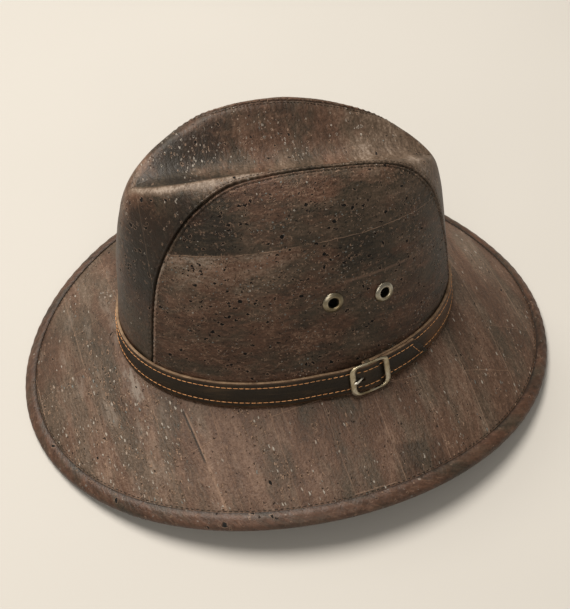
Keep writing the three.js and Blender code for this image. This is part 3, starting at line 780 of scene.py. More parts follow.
def leatherFinish():
    material, tree, shader = newMaterial("waxedLeather", 0.26)
    coords = grainCoords(tree)
    pebbles = {"Vector": coords, "Scale": 1100, "Randomness": 0.9}
    pebble = wire(tree, "ShaderNodeTexVoronoi", pebbles, "Distance")
    mottle = streaks(coords, (60, 140, 60), 4, 0.6)
    wearAndSheen = streaks(coords, (35, 260, 60), 3, 0.6)
    fibre = streaks(coords, (150, 900, 100), 3, 0.7)
    raw = painted(tree, "rawEdge")
    tanned = painted(tree, "tanned") * between(mottle, 0.3, 0.6, 0.5, 0.9)
    colour = tones(pebble * 0.12 + mottle * 0.8, leatherColours["waxed"])
    colour = blend(between(wearAndSheen, 0.52, 0.75, 0.0, 0.5), colour, leatherColours["wearAndSheen"])
    colour = blend(tanned, colour, leatherColours["tan"])
    feed(shader, {
        "Base Color": blend(between(raw, 0.35, 0.65), colour, tones(fibre, leatherColours["raw"])),
        "Roughness": (mottle - 0.5) * 0.35 + 0.46 + raw * 0.3,
        "Normal": bump(pebble * 0.5 + fibre * 0.4, 0.4, 0.0003),
    })
    return material


def threadFinish(name, dark, light, specular=0.4):
    material, tree, shader = newMaterial(name, specular)
    coords = objectCoords(tree)
    ply = cloud(coords, 1900, 2)
    feed(shader, {
        "Base Color": tones(cloud(coords, 160, 2) * 0.6 + ply * 0.4, [(0.3, dark), (0.7, light)]),
        "Roughness": 0.6,
        "Normal": bump(ply, 0.5, 0.0002),
    })
    return material


brassColours = {
    "aged": [(0.28, (0.24, 0.185, 0.105)), (0.47, (0.42, 0.36, 0.245)), (0.66, (0.66, 0.62, 0.52))],
    "wearAndSheen": (0.85, 0.82, 0.74),
    "patinaAndShadeColour": (0.01, 0.008, 0.005),
}


def brassFinish(name, rub):
    material, tree, shader = newMaterial(name)
    coords = objectCoords(tree)
    stain = cloud(coords, 110, 2, 0.5)
    fine = cloud(coords, 1500, 2, 0.6)
    colour = blend(rub, tones(fine * 0.2 + stain * 0.8, brassColours["aged"]), brassColours["wearAndSheen"])
    # darkened where the mark is painted: patina, and painted shade in the eyelets' barrels and on the buckle
    # frame's sides
    feed(shader, {
        "Base Color": blend(painted(tree, "patinaAndShade") * 0.94, colour, brassColours["patinaAndShadeColour"]),
        "Metallic": 0.92 - 0.4 * rub,
        "Roughness": between(stain, 0.3, 0.7, 0.38, 0.26),
        "Normal": bump(fine, 0.08, 0.0001),
    })
    return material


backing = backingFinish()
leather = leatherFinish()
tanThread = threadFinish("tanThread", (0.36, 0.14, 0.042), (0.74, 0.38, 0.16))
darkThread = threadFinish("darkThread", (0.012, 0.009, 0.006), (0.034, 0.025, 0.018), 0.2)
brass = brassFinish("agedBrass", 0.0)
rubbedBrass = brassFinish("rubbedBrass", 0.8)
print("materials made")

footLift = 0.7
insideCrown = Vector((0, 0, 60))

# Crown: the side panels, cut and laid with the grain running round the head
sidePanel = {
    "across": 250, "up": 112,
    "edgeCrowd": 0.7, "topCrowd": 0.6,
    "rightShift": 400,        # so that the right side's pattern isn't the left side's
    "joinHeight": 101.0,      # the level join between two rows of shavings, up the wall
    "joinDroop": {"front": 4.0, "back": 8.0},
    "joinArc": 15.5,          # the upright join, towards the back from the panel's middle
    "clusters": [
        (0.5, 120, 5), (10, 92, 5), (-32.6, 55.8, 7), (-18.7, 105, 4), (-60.6, 60.4, 7),
        (-20.3, 81.2, 4), (-28.9, 64.5, 6), (-46, 70, 9), (30, 78, 8), (-70, 88, 8),
    ],
}


def panelPlace(u, v):
    start = seamLine(0)
    end = seamLine(seamRows)
    top = topStretch(u)
    topStart = topStretch(0)
    topEnd = topStretch(1)
    near = frontLeg(v)
    far = backLeg(1 - v)
    found = []
    for k in (0, 1):
        low = mix(start[k], end[k], u)
        corners = ((1 - u) * (1 - v) * start[k] + u * (1 - v) * end[k]
                   + (1 - u) * v * topStart[k] + u * v * topEnd[k])
        found.append((1 - v) * low + v * top[k] + (1 - u) * near[k] + u * far[k] - corners)
    return found[0], max(found[1], 0.0)


def crowded(share, amount):
    return share - amount * math.sin(2 * math.pi * share) / (2 * math.pi)


def crowdedTop(share, amount):
    return share + amount * math.sin(math.pi * share) / math.pi


wallSteps = 40
wallHeights = {}


def heightUp(angle, share):
    key = round(math.degrees(angle))
    if key not in wallHeights:
        steps = range(wallSteps + 1)
        wallHeights[key] = lengthsAlong([wallPoint(math.radians(key), i / wallSteps) for i in steps])
    spot = min(max(share, 0), 0.9999) * wallSteps
    low = int(spot)
    return mix(wallHeights[key][low], wallHeights[key][low + 1], spot - low)


# the level join droops towards both ends of the panel
def joinAt(arc):
    droop = sidePanel["joinDroop"]
    fallen = droop["back"] * (max(arc, 0) / 82) ** 1.5 + droop["front"] * (min(arc, 0) / 92) ** 2
    return sidePanel["joinHeight"] - fallen


# The tones of the four fields that the level and the upright join part
def sideTone(arc, up):
    ragged = 2.2 * noiseAt(arc / 14, up / 9, 2.0) + noiseAt(arc / 4, up / 4, 9.0)
    above = up + ragged * 0.5 - joinAt(arc)
    past = arc + ragged * 0.4 - sidePanel["joinArc"]
    pale = 1.3 * bell(above, 21) * within(arc, -104, -84, -30, 12)
    lowerLeft = pale - 0.15 - 0.30 * smoothStep(-above, 30, 85) - 0.2 * smoothStep(arc, -40, 0)
    upperLeft = -1.3 + 1.15 * smoothStep(arc + 3 * ragged, -54, -38) + 0.25 * smoothStep(above, 14, 34)
    darkPatch = 0.6375 * smoothStep(up + 3 * ragged, 68, 78) * fall(arc, 50, 62)
    lowerRight = -0.30 - darkPatch - 0.25 * fall(up, 20, 45)
    upperRight = -0.05 - 0.35 * fall(above, 0, 10)
    upper = smoothStep(above, -0.6, 0.6)
    left = mix(lowerLeft, upperLeft, upper)
    right = mix(lowerRight, upperRight, upper)
    return mix(left, right, smoothStep(past, -0.8, 0.8))


def sideFlecked(arc, up):
    below = joinAt(arc) - up
    pale = bell(arc + 52, 30) * within(below, -1, 3, 14, 32)
    return pale - 0.15 * smoothStep(-below, 0, 4) - 0.25 * smoothStep(below, 30, 50)


def sideRedness(arc, up):
    ends = 0.5 * smoothStep(95 - up, 10, 60) + 0.55 * smoothStep(up, 118, 134)
    row = smoothStep(up, 99, 101) - smoothStep(up, 112, 125)
    return ends - 0.45 * smoothStep(arc, 8, 30) - 0.3 * row


def sidePitted(arc, up):
    return sum(bell(math.hypot(arc - x, up - y), reach) for x, y, reach in sidePanel["clusters"])


# a place on the crown with its relief, a little higher at the very foot
def sewnPoint(angle, height, side, panel):
    point = crownPoint(angle, height)
    point += crownNormal(angle, height) * reliefAt(mirrored(point, side), panel)
    point.z += footLift * fall(height, 0, 0.03)
    return mirrored(point, side)


def finishPanel(name, bm, look):
    facesOut(bm, lambda point: point - insideCrown)
    wall = {"thickness": hat["crownWall"], "offset": -1, "inside": 1}
    finishPiece(name, bm, [corkFinishes[look], backing], [name], "cork", wall)


def makeSidePanel(sideName, side):
    info = sidePanel
    places = {}
    shift = 0 if side > 0 else info["rightShift"]

    def placeAt(u, v):
        key = (round(u, 6), round(v, 6))
        if key not in places:
            places[key] = panelPlace(crowded(u, info["edgeCrowd"]), crowdedTop(v, info["topCrowd"]))
        return places[key]

    def onPanel(u, v):
        return sewnPoint(*placeAt(u, v), side, "side")

    def grainAt(u, v):
        angle, height = placeAt(u, v)
        arc = arcAt(angle)
        return (arc + shift) / 1000, (heightUp(angle, height) - joinAt(arc)) / 1000

    bm = bentGrid(info["across"], info["up"], onPanel, grainAt)
    measures = {"tone": sideTone, "redness": sideRedness, "pitted": sidePitted, "flecked": sideFlecked}
    layers = {kind: bm.verts.layers.float.new(kind) for kind in measures}
    grain = bm.loops.layers.uv["grain"]
    for vert in bm.verts:
        arc, up = vert.link_loops[0][grain].uv * 1000
        arc -= shift
        up += joinAt(arc)
        for kind, measure in measures.items():
            vert[layers[kind]] = measure(arc, up)
        # the welt is paler low on the front leg, partly wear and partly painted highlight; the crease is
        # darkened with painted shade
        legWearAndSheen = 2.2 * fall(up, 85, 120) * fall(arc, -40, -20)
        seamWearAndSheen, shade = seamTones(vert.co)
        vert[layers["tone"]] += seamWearAndSheen * (0.15 + legWearAndSheen) - shade

    # the vent holes: faces inside the flange go, and the edge left is drawn on to a circle
    for name, degrees, share in eyelets["places"]:
        centre, normal = eyeletSpot(degrees, share, side)
        holeRadius = eyelets["hole"] / 2 + eyelets["metal"] + hat["clearance"]
        inside = [face for face in bm.faces if (face.calc_center_median() - centre).length < holeRadius]
        rim = {edge for face in inside for edge in face.edges}
        rim = {edge for edge in rim if any(face not in inside for face in edge.link_faces)}
        rimVerts = {vert for edge in rim for vert in edge.verts}
        bmesh.ops.delete(bm, geom=inside, context="FACES")
        for vert in rimVerts:
            if vert.is_valid:
                away = vert.co - centre
                level = away - normal * away.dot(normal)
                vert.co += level * (holeRadius / level.length - 1)
    finishPanel("crown_side_" + sideName, bm, "corkSide")


makeSidePanel("left", 1)
makeSidePanel("right", -1)

# Crown: the centre panel, from the front up between the ridges and down the back
centrePanel = {
    "perRow": 6, "across": 120, "crowd": 0.72, "sewnColumns": 0.34,
    "tipRow": seam["legSteps"] + 3,
}
frontLine = evenLine(lambda t: (0.0, t), 0, 1)
ridgeLine = evenLine(lambda t: (math.pi * t, 1.0), 0, 1)
backLine = evenLine(lambda t: (math.pi, 1 - t), 0, 1)


def middleLine(row):
    tip = centrePanel["tipRow"]
    if row <= tip:
        return frontLine(row / tip)
    if row < seamRows - tip:
        return ridgeLine((row - tip) / (seamRows - 2 * tip))
    return backLine((row - seamRows + tip) / tip)


def around(point, x, y, reachX, reachY):
    return bell(point.x - x, reachX) * bell(point.y - y, reachY)


# soft patches on the top: how strong, where, and how far they reach
topPatches = {
    "tone": [
        (-0.95, -18, -60, 9, 14), (-0.6, -27, 0, 7, 32), (-0.5, -16, 35, 6, 9),
        (0.35, 0, 25, 9, 45), (-0.25, -12, -35, 8, 22),
    ],
    "flecked": [(1.2, -10, -42, 8, 20), (0.9, -22, -8, 7, 16), (0.5, -12, 5, 7, 22)],
    "redness": [(0.7, -13, 0, 6, 34), (-0.7, -2, -20, 5, 9)],
}


def patchesAt(point, kind):
    return sum(strength * around(point, *place) for strength, *place in topPatches[kind])


def onTop(point):
    return smoothStep(point.z, 140, 150)


# how far a point of the top lies outside the ridge beside it
def pastRidge(point):
    share = (hat["ridgeShift"] - point.y) / (hat["ridgeLength"] / 2)
    half = hat["ridgeApart"] / 2 * max(1 - share * share, 0.0) ** (hat["ridgePinch"] / 2)
    return abs(point.x) - half


def nearCrest(point):
    return onTop(point) * smoothStep(point.x, -4, 3)


def centreTone(point):
    top = onTop(point)
    past = pastRidge(point)
    ahead = -point.y
    # painted highlight: the front tip of the ridges, and a patch on the near ridge's crest, are paler
    tip = bell(ahead - 80, 13) * smoothStep(point.z, 148, 160)
    tip += 0.5 * around(point, 24, -50, 7, 30) * smoothStep(point.z, 150, 166)
    marks = 0.15 * noise.noise(point / 9) + 0.35 * noiseAt(point.x / 40, point.y / 26, 5)
    # painted highlight: a pale line along the near ridge's crest, reaching further down its outside, fading
    # towards the back
    wearAndSheen = bell(past, 6.0 if past > 0 else 1.8)
    marks += 0.9 * wearAndSheen * smoothStep(ahead, -10, 40) * nearCrest(point)
    # painted sheen: the top grows paler towards the back
    marks += top * (0.6 * smoothStep(point.y, 25, 60) - 0.2 * fall(point.x, -8, 4) + patchesAt(point, "tone"))
    # painted shade: a dark band on the slope just inside the ridges, on the front part of the top
    marks -= 1.6 * top * within(-past, 1.5, 5, 14, 28) * smoothStep(ahead, 15, 45)
    outline = -21.5 + 2.5 * math.sin((point.y + 36) / 9)
    marks += 0.8 * top * bell(point.x - outline, 0.9) * fall(abs(point.y + 18), 26, 34)
    shaded = smoothStep(point.x, 6, 17) * smoothStep(ahead, 46, 60) * smoothStep(point.z, 96, 126)
    marks -= 1.9 * shaded * smoothStep(past, 2, 7)
    olive = -0.55 + 0.4 * fall(point.x, 2, 12)
    # the seam's crease is darkened with painted shade
    return olive * smoothStep(ahead, 55, 80) * (1 - tip) + 0.75 * tip + marks - seamTones(point)[1]


def centreFlecked(point):
    return onTop(point) * (patchesAt(point, "flecked") + 0.5) - 1.0


def centreRedness(point):
    # painted sheen: the near crest and the back of the top are less red
    crest = bell(pastRidge(point) + 0.2, 5) * nearCrest(point)
    ends = 0.5 * smoothStep(point.y, 30, 60) - 0.2 * smoothStep(-point.y, 75, 90)
    return patchesAt(point, "redness") + 0.4 * noise.noise(point / 22) - ends - 0.8 * crest


def centrePitted(point):
    return around(point, 16, -92, 13.42, 13.42) * smoothStep(point.z, 85, 100)


def makeCentrePanel():
    info = centrePanel
    tip = info["tipRow"]
    rows = seamRows * info["perRow"]

    def placeAt(u, v):
        row = v * seamRows
        side = -1 if u > 0.5 else 1
        outer = min(u, 1 - u)
        sewn = info["sewnColumns"]
        w = outer / sewn if outer < sewn else 1 + (outer - sewn) / (0.5 - sewn)
        start = seamLine(row)
        line = middleLine(row)
        if w <= 1:
            share = w - info["crowd"] * math.sin(math.pi * w) / math.pi
            return mix(start[0], line[0], share), mix(start[1], line[1], share), side
        if tip < row < seamRows - tip:
            return line[0], w, side
        return line[0], line[1], side

    def onPanel(u, v):
        return sewnPoint(*placeAt(u, v), "centre")

    bm = bentGrid(info["across"], rows, onPanel, lambda u, v: (u * 0.15, v * 0.4))
    weld(bm, 0.004)
    bmesh.ops.dissolve_degenerate(bm, dist=0.002, edges=bm.edges[:])
    addMarks(bm, {
        "tone": centreTone,
        "flecked": centreFlecked,
        "redness": centreRedness,
        "pitted": centrePitted,
    })
    finishPanel("crown_centre", bm, "corkTop")


makeCentrePanel()

# Brim: one ring of cork with a soft wave, its outer edge let into the binding
brim = {
    "around": 720, "out": 46,
    "wave": 0.8, "dent": 0.5, "dentSize": 34.0,
}


def rimAt(angle):
    flat = math.sin(math.radians(hat["restHalfAngle"]))
    lift = max((abs(math.sin(angle)) - flat) / (1 - flat), 0)
    return Vector((
        hat["brimWidth"] / 2 * math.sin(angle),
        -hat["brimLength"] / 2 * math.cos(angle),
        hat["brimSideLift"] * lift ** hat["brimLiftShape"],
    ))


# distance and height of the brim's middle line at a share of its reach, and its slope
def brimLine(angle):
    start = foot(angle)
    edge = rimAt(angle)
    out = (edge - start).to_2d().to_3d()
    reach = out.length
    out.normalize()
    top = start.z - hat["clearance"] - hat["brimThickness"] / 2
    nose = hat["bindingThickness"] / 2
    tilt = math.atan((top - edge.z + 4 * hat["brimBulge"]) / reach)
    edgeHeight = edge.z + nose * (1 - math.sin(tilt)) - hat["restFlat"]

    def middle(share):
        height = mix(top, edgeHeight, share) + 4 * hat["brimBulge"] * share * (1 - share)
        slope = math.atan2(edgeHeight - top + 4 * hat["brimBulge"] * (1 - 2 * share), reach)
        return reach * share, height, slope

    def place(distance, height):
        return Vector((start.x, start.y, height)) + out * distance

    return place, middle, top, reach


# a point so far out of the brim's edge, along the slope there, and so far above it
def offEdge(edgeFrame, outwards, above):
    place, middle, top, reach = edgeFrame
    distance, height, slope = middle(1)
    return place(
        distance + outwards * math.cos(slope) - above * math.sin(slope),
        height + outwards * math.sin(slope) + above * math.cos(slope),
    )


def brimWave(angle, share):
    calm = 4 * share * (1 - share)
    wave = math.sin(3 * angle + 0.7) + 0.6 * math.sin(5 * angle + 2.1)
    spot = Vector((2.4 * math.cos(angle), 2.4 * math.sin(angle), share * 1.6))
    return calm * (brim["wave"] * wave / 1.6 + brim["dent"] * noise.noise(spot * 2.3))


def brimTone(point):
    tone = 0.45 * noiseAt(point.x / 60, point.y / 15, 1)
    tone -= 0.25 * smoothStep(-point.y, 98, 116) * within(point.x, -20, 10, 42, 60)
    x = point.x
    y = point.y + 1.6 * noise.noise(point / 12)
    tone -= 0.55 * within(x, 117, 119, 133, 135) * within(y, 30, 32, 58, 60)
    return tone + 0.25 * within(x, 88, 90, 117, 119) * within(y, 27, 29, 48, 50)


def brimFlecked(point):
    front = smoothStep(-point.y, 60, 92) * smoothStep(point.x, -10, 40)
    return 0.75 * front + 0.9 * noiseAt(point.x / 70, point.y / 7, 12) - 0.2


def brimScuff(point):
    away = abs(point.y + 106 - 0.11 * (point.x - 21))
    mark = within(point.x, 20, 23, 44, 48) * fall(away, 2.2, 4.2)
    cloudy = smoothStep(noiseAt(point.x / 30, point.y / 8, 3), 0.25, 0.6)
    return mark + 0.45 * cloudy * smoothStep(-point.y, 20, 90)


def brimRedness(point):
    return 0.3 + 1.1 * noiseAt(point.x / 45, point.y / 13, 8) - 0.4 * smoothStep(-point.y, 70, 100)


def brimPitted(point):
    return 0.5 * around(point, 118, -45, 12.65, 12.65)


def makeBrim():
    shares = {}

    def frameAt(u):
        if u not in shares:
            shares[u] = brimLine(2 * math.pi * u)
        return shares[u]

    def onBrim(u, v):
        place, middle, top, reach = frameAt(u)
        angle = 2 * math.pi * u
        inner = -hat["crownWall"]
        noseDistance, noseHeight, noseSlope = middle(1)
        slotEnd = hat["bindingWidth"] - hat["slotDepth"] + hat["clearance"]
        straightFrom = hat["bindingWidth"] + 1
        last = noseDistance - slotEnd * math.cos(noseSlope)
        distance = mix(inner, last, v)
        if distance <= 0:
            return place(distance, top)
        turning = noseDistance - straightFrom * math.cos(noseSlope)
        share = distance / reach
        onSlope = noseHeight - (noseDistance - distance) * math.tan(noseSlope)
        height = mix(middle(share)[1], onSlope, smoothStep(distance, turning - 16, turning))
        flat = within(distance, 0, 12, turning - 12, turning)
        return place(distance, height + flat * brimWave(angle, share))

    bm = bentGrid(brim["around"], brim["out"], onBrim, lambda u, v: (u, v * 0.07))
    weld(bm, 0.001)
    addMarks(bm, {
        "tone": brimTone,
        "scuffed": brimScuff,
        "flecked": brimFlecked,
        "redness": brimRedness,
        "pitted": brimPitted,
    })
    facesOut(bm, lambda point: Vector((0, 0, 1)))
    finishPiece(
        "brim", bm, [corkFinishes["corkBrim"]], ["brim"], "cork",
        {"thickness": hat["brimThickness"], "offset": 0},
    )


makeBrim()

# Binding: a strip of cork rolled over the brim's edge, twisting a little as it goes round
rimLength = 970.0
binding = {
    "around": 760,
    "lip": 0.8, "rounding": 0.5, "lipDrop": 0.8,
    "pucker": 0.2, "puckerPitch": 8.5, "lean": 0.55, "unevenness": 0.2,
    "joins": [-48.0, 141.0], "joinSpread": 0.35,
    "cluster": (66.0, 6.0),
}


# the strip's section as (outwards, above), from its lower lip round the edge to the slot's end
def bindingOutline():
    half = hat["bindingThickness"] / 2
    slotHalf = hat["brimThickness"] / 2 + hat["clearance"]
    width = hat["bindingWidth"]
    lip = binding["lip"]
    flat = width - lip - half
    below = [(-width, -slotHalf), (-width, -half + lip), (-width + lip * 0.3, -half + lip * 0.3)]
    below += [(-width + lip + flat * i / 5, -half) for i in range(0, 6)]
    turns = [math.radians(degrees) for degrees in range(-80, 81, 10)]
    nose = [(half * (math.cos(turn) - 1), half * math.sin(turn)) for turn in turns]
    over = [(-half - flat * i / 7, half) for i in range(0, 8)]
    over += [(-width + lip * 0.3, half - lip * 0.3), (-width, half - lip), (-width, slotHalf)]
    depths = [hat["slotDepth"] * 0.5, hat["slotDepth"]]
    slot = [(-width + depth, slotHalf) for depth in depths]
    slot += [(-width + depth, -slotHalf) for depth in reversed(depths)]
    return below + nose + over + slot


def makeBinding():
    info = binding
    width = hat["bindingWidth"]
    outline = bindingOutline()
    lengths = lengthsAlong([Vector(spot) for spot in outline + outline[:1]])
    frames = {}

    def shownAbove(outwards, above):
        return above > 0 and outwards > -width + 0.1

    def onBinding(u, v):
        key = round(u, 6)
        if key not in frames:
            frames[key] = brimLine(2 * math.pi * u)
        index = round(v * len(outline)) % len(outline)
        outwards, above = outline[index]
        s = lengths[index]
        rounding = info["rounding"] * math.sin(math.pi * min(-outwards / width, 1))
        rounding -= info["lipDrop"] * smoothStep(-outwards, 6.5, width)
        along = u * rimLength
        strength = 0.5 + 0.5 * noiseAt(along / 60, 3.3, 0)
        wave = math.sin(2 * math.pi * (along - info["lean"] * s) / info["puckerPitch"])
        fold = info["pucker"] * strength * wave + info["unevenness"] * noiseAt(along / 21, s / 9, 4)
        if shownAbove(outwards, above):
            above += fold * 0.8 + rounding
            outwards += fold * 0.4
        point = offEdge(frames[key], outwards, above)
        point.z = max(point.z, 0)
        return point

    def grainAt(u, v):
        return u * rimLength / 1000, lengths[round(v * len(outline))] / 1000

    bm = bentGrid(info["around"], len(outline), onBinding, grainAt)
    weld(bm, 0.001)

    def fromAngle(point, degrees, spread):
        here = math.degrees(math.atan2(point.x / hat["brimWidth"], -point.y / hat["brimLength"]))
        return bell(here - degrees, spread)

    def jointTone(point):
        dark = sum(fromAngle(point, degrees, info["joinSpread"]) for degrees in info["joins"])
        return 0.3 * noise.noise(point / 24) - 0.9 * dark

    addMarks(bm, {
        "tone": jointTone,
        "redness": lambda p: 0.6 + 0.5 * noise.noise(p / 30),
        "pitted": lambda p: fromAngle(p, *info["cluster"]),
    })
    tone = bm.verts.layers.float["tone"]
    grain = bm.loops.layers.uv["grain"]
    # painted shade: the top of the strip darkens at its inner lip, where it meets the brim, and the lip's end
    # face is darkest
    for vert in bm.verts:
        s = vert.link_loops[0][grain].uv[1] * 1000
        outwards, above = outline[min(range(len(outline)), key=lambda k: abs(lengths[k] - s))]
        if shownAbove(outwards, above):
            vert[tone] -= 0.9 * smoothStep(-outwards, 8.2, 9.6)
        elif above > 0:
            vert[tone] -= 1.6
    evenNormals(bm)
    finishPiece("brim_binding", bm, [corkFinishes["corkBinding"]], ["brim_binding"], "cork_binding")


makeBinding()

# The band's own space: x runs along it from the buckle's bar towards the back, h up the
# wall from the foot, and off away from the wall
band = {
    "width": 17.4, "thickness": 1.8, "skived": 1.0,
    "tailTop": 34.0, "tailTip": 45.5, "climb": 22.0,
    "buckleAngle": 104.6,
    "edgeRound": 0.45, "hole": {"before": 5.3, "radius": 1.7, "depth": 1.4},
    "stitchLow": 3.7, "stitchHigh": 14.0, "stitchPitch": 3.45, "stitchLength": 3.2,
    "stitchWidth": 0.46, "waver": 0.35,
}
buckle = {
    "length": 26.0, "height": 21.2, "sideBar": 3.8,
    "barWidth": 3.2, "barThickness": 1.2,
    "thickness": 1.6, "bevel": 0.9,
    "outerSquare": 5.0, "openSquare": 6.0, "openPlay": 0.48,
    "post": 0.8, "steps": 128,
    "prongWidth": 1.6, "prongThickness": 1.0, "prongRoom": 0.96, "prongReach": 0.45,
    "humpFlat": 3.0, "humpEnd": 10.0,
}
clearance = hat["clearance"]
foldLow = clearance
foldEnd = buckle["barWidth"] / 2 + clearance + band["skived"]
barLow = foldLow + band["skived"] + clearance
barHigh = barLow + buckle["barThickness"]
foldHigh = barHigh + clearance + band["skived"]
tailOver = foldHigh + clearance
tailUnder = clearance + band["thickness"] + clearance
frameLow = tailUnder + band["thickness"] + buckle["prongRoom"]
frameHigh = frameLow + buckle["thickness"]
bandMiddle = band["width"] / 2
bandTable = lengthAround(math.radians(band["buckleAngle"]))


def angleAlong(x):
    turns = math.floor(x / bandLength)
    rest = x - turns * bandLength
    low, share = stepAt(bandTable, rest)
    return math.radians(band["buckleAngle"]) + 2 * math.pi * (turns + (low + share) / (len(bandTable) - 1))


wallFrames = {}


def onWall(x, h, off):
    key = round(x, 4)
    if key not in wallFrames:
        angle = angleAlong(x)
        start = foot(angle)
        up = (wallPoint(angle, nudge) - start)
        grow = up.length / nudge
        columns = []
        for k in range(-2, 16):
            level = k * 2.0
            share = level / grow
            for i in range(4):
                share += (level - (wallPoint(angle, share) - start).dot(up.normalized())) / grow
            columns.append((wallPoint(angle, share), crownNormal(angle, share)))
        wallFrames[key] = columns
    columns = wallFrames[key]
    spot = min(max((h + 4) / 2, 0), len(columns) - 1.001)
    low = int(spot)
    point = columns[low][0].lerp(columns[low + 1][0], spot - low)
    normal = columns[low][1].lerp(columns[low + 1][1], spot - low).normalized()
    return point + normal * off


def humpOff(x):
    return mix(tailOver, tailUnder, smoothStep(abs(x), buckle["humpFlat"], buckle["humpEnd"]))


def strapOff(x):
    toTail = x - bandLength
    if toTail > -buckle["humpEnd"]:
        return humpOff(toTail)
    share = smoothStep(toTail, -buckle["humpEnd"] - band["climb"], -buckle["humpEnd"])
    return mix(clearance, tailUnder, share)


# the strap's inner and outer face along x, its first stretch folded round the buckle's bar
def strapFaces(x):
    if x < buckle["humpEnd"]:
        low = foldLow
        high = humpOff(x) - clearance
        pinch = (high - low) / 2 * (1 - rounded(min((x + foldEnd) / 1.4, 1.0)))
        return low + pinch, high - pinch
    return strapOff(x), strapOff(x) + band["thickness"]


# the strap's top edge isn't quite even, and stands off the crown in one place
def edgeWaver(x):
    return band["waver"] * noiseAt(x / 26, 0.5, 7) + 0.5 * bell(x - bandLength + 30, 9)


def makeBand():
    end = bandLength + band["tailTop"]
    stations = [mix(-foldEnd, buckle["humpEnd"], (i / 16) ** 1.5) for i in range(16)]
    stations += [mix(buckle["humpEnd"], bandLength - 40, i / 300) for i in range(300)]
    stations += [mix(bandLength - 40, end - 4, i / 100) for i in range(101)]
    stations += [end - 4 + 4 * math.sin(math.pi / 2 * i / 12) for i in range(1, 13)]
    radius = band["edgeRound"]
    width = band["width"]
    # the section as (h, share of the thickness, how raw)
    section = [(0.0, 0.5, 0.0), (radius * 0.3, 0.85, 0.0), (radius, 1.0, 0.0)]
    section += [(mix(radius, width - radius, i / 14), 1.0, 0.0) for i in range(1, 14)]
    section += [(width - radius, 1.0, 0.3), (width - radius * 0.3, 0.88, 1.0), (width, 0.5, 1.0)]
    section += [(width - radius * 0.3, 0.12, 1.0), (width - radius, 0.0, 0.6)]
    section += [(mix(width - radius, radius, i / 4), 0.0, 0.0) for i in range(1, 4)]
    section += [(radius, 0.0, 0.0), (radius * 0.3, 0.15, 0.0)]
    rows = len(stations) - 1

    def onBand(u, v):
        x = stations[min(round(u * rows), rows)]
        h, share, raw = section[round(v * len(section)) % len(section)]
        low, high = strapFaces(x)
        skew = (band["tailTip"] - band["tailTop"]) * (1 - h / width) * smoothStep(x, end - 16, end)
        thick = (high - low) * (1 - 0.35 * (1 - rounded(min((end - x) / 0.5, 1.0))))
        lift = edgeWaver(x) * smoothStep(h, width * 0.6, width)
        lift *= within(x, 14, 30, bandLength - 14, bandLength - 6)
        off = low + thick * share + lift * 0.5
        if share > 0.9:
            off += 0.15 * math.sin(math.pi * min(max(h / width, 0), 1))
            off -= sum(0.12 * bell(h - line, 0.8) for line in (band["stitchLow"], band["stitchHigh"]))
        return onWall(x + skew, h + 0.25 * lift, off)

    def grainAt(u, v):
        h = section[round(v * len(section)) % len(section)][0]
        return stations[min(round(u * rows), rows)] / 1000, h / 1000

    bm = bentGrid(rows, len(section), onBand, grainAt)
    raws = bm.verts.layers.float.new("rawEdge")
    tans = bm.verts.layers.float.new("tanned")
    perRow = rows + 1
    for vert in bm.verts:
        h, share, raw = section[(vert.index // perRow) % len(section)]
        x = stations[vert.index % perRow]
        vert[raws] = raw
        vert[tans] = 0.6 * within(x, 38, 52, 120, 200) + 0.6 * fall(min(h, width - h), 0.6, 1.8)
    weld(bm)
    closeEnds(bm)
    evenNormals(bm)

    # the hole that the prong comes up through
    hole = band["hole"]
    holeAt = bandLength - hole["before"]
    holeSpot = onWall(holeAt, bandMiddle, strapOff(holeAt) + band["thickness"])
    pit = [face for face in bm.faces if (face.calc_center_median() - holeSpot).length < hole["radius"]]
    deepened = bmesh.ops.extrude_face_region(bm, geom=pit)
    way = onWall(holeAt, bandMiddle, 0) - onWall(holeAt, bandMiddle, 1)
    sunk = [thing for thing in deepened["geom"] if isinstance(thing, bmesh.types.BMVert)]
    bmesh.ops.translate(bm, vec=way * hole["depth"], verts=sunk)
    bmesh.ops.delete(bm, geom=pit, context="FACES")
    finishPiece("hat_band", bm, [leather], ["hat_band"], "band_leather", sharp=50)


makeBand()


# Stitches: small rounded threads set along a line, their ends drawn into the cloth
def sewn(name, spots, shape, material, slotName):
    one = bmesh.new()
    bmesh.ops.create_uvsphere(one, u_segments=8, v_segments=5, radius=1)
    bmesh.ops.rotate(one, verts=one.verts[:], matrix=Matrix.Rotation(math.pi / 2, 3, "Y"))
    template = bpy.data.meshes.new(name + "One")
    one.to_mesh(template)
    one.free()
    bm = bmesh.new()
    for point, along, out in spots:
        side = out.cross(along).normalized()
        along = along.normalized()
        out = along.cross(side).normalized()
        size = (shape["length"] / 2, shape["width"] / 2, shape["height"] / 2)
        turn = Matrix((along * size[0], side * size[1], out * size[2])).transposed().to_4x4()
        place = Matrix.Translation(point) @ turn
        template.transform(place)
        bm.from_mesh(template)
        template.transform(place.inverted())
    bpy.data.meshes.remove(template)
    evenNormals(bm)
    return finishPiece(name, bm, [material], slotName=slotName)


def bandSpot(x, h, direction=(1, 0)):
    off = strapFaces(x)[1] + 0.06
    here = onWall(x, h, off)
    ahead = onWall(x + 0.4 * direction[0], h + 0.4 * direction[1], off)
    over = onWall(x, h, off + 1)
    return here, ahead - here, over - here


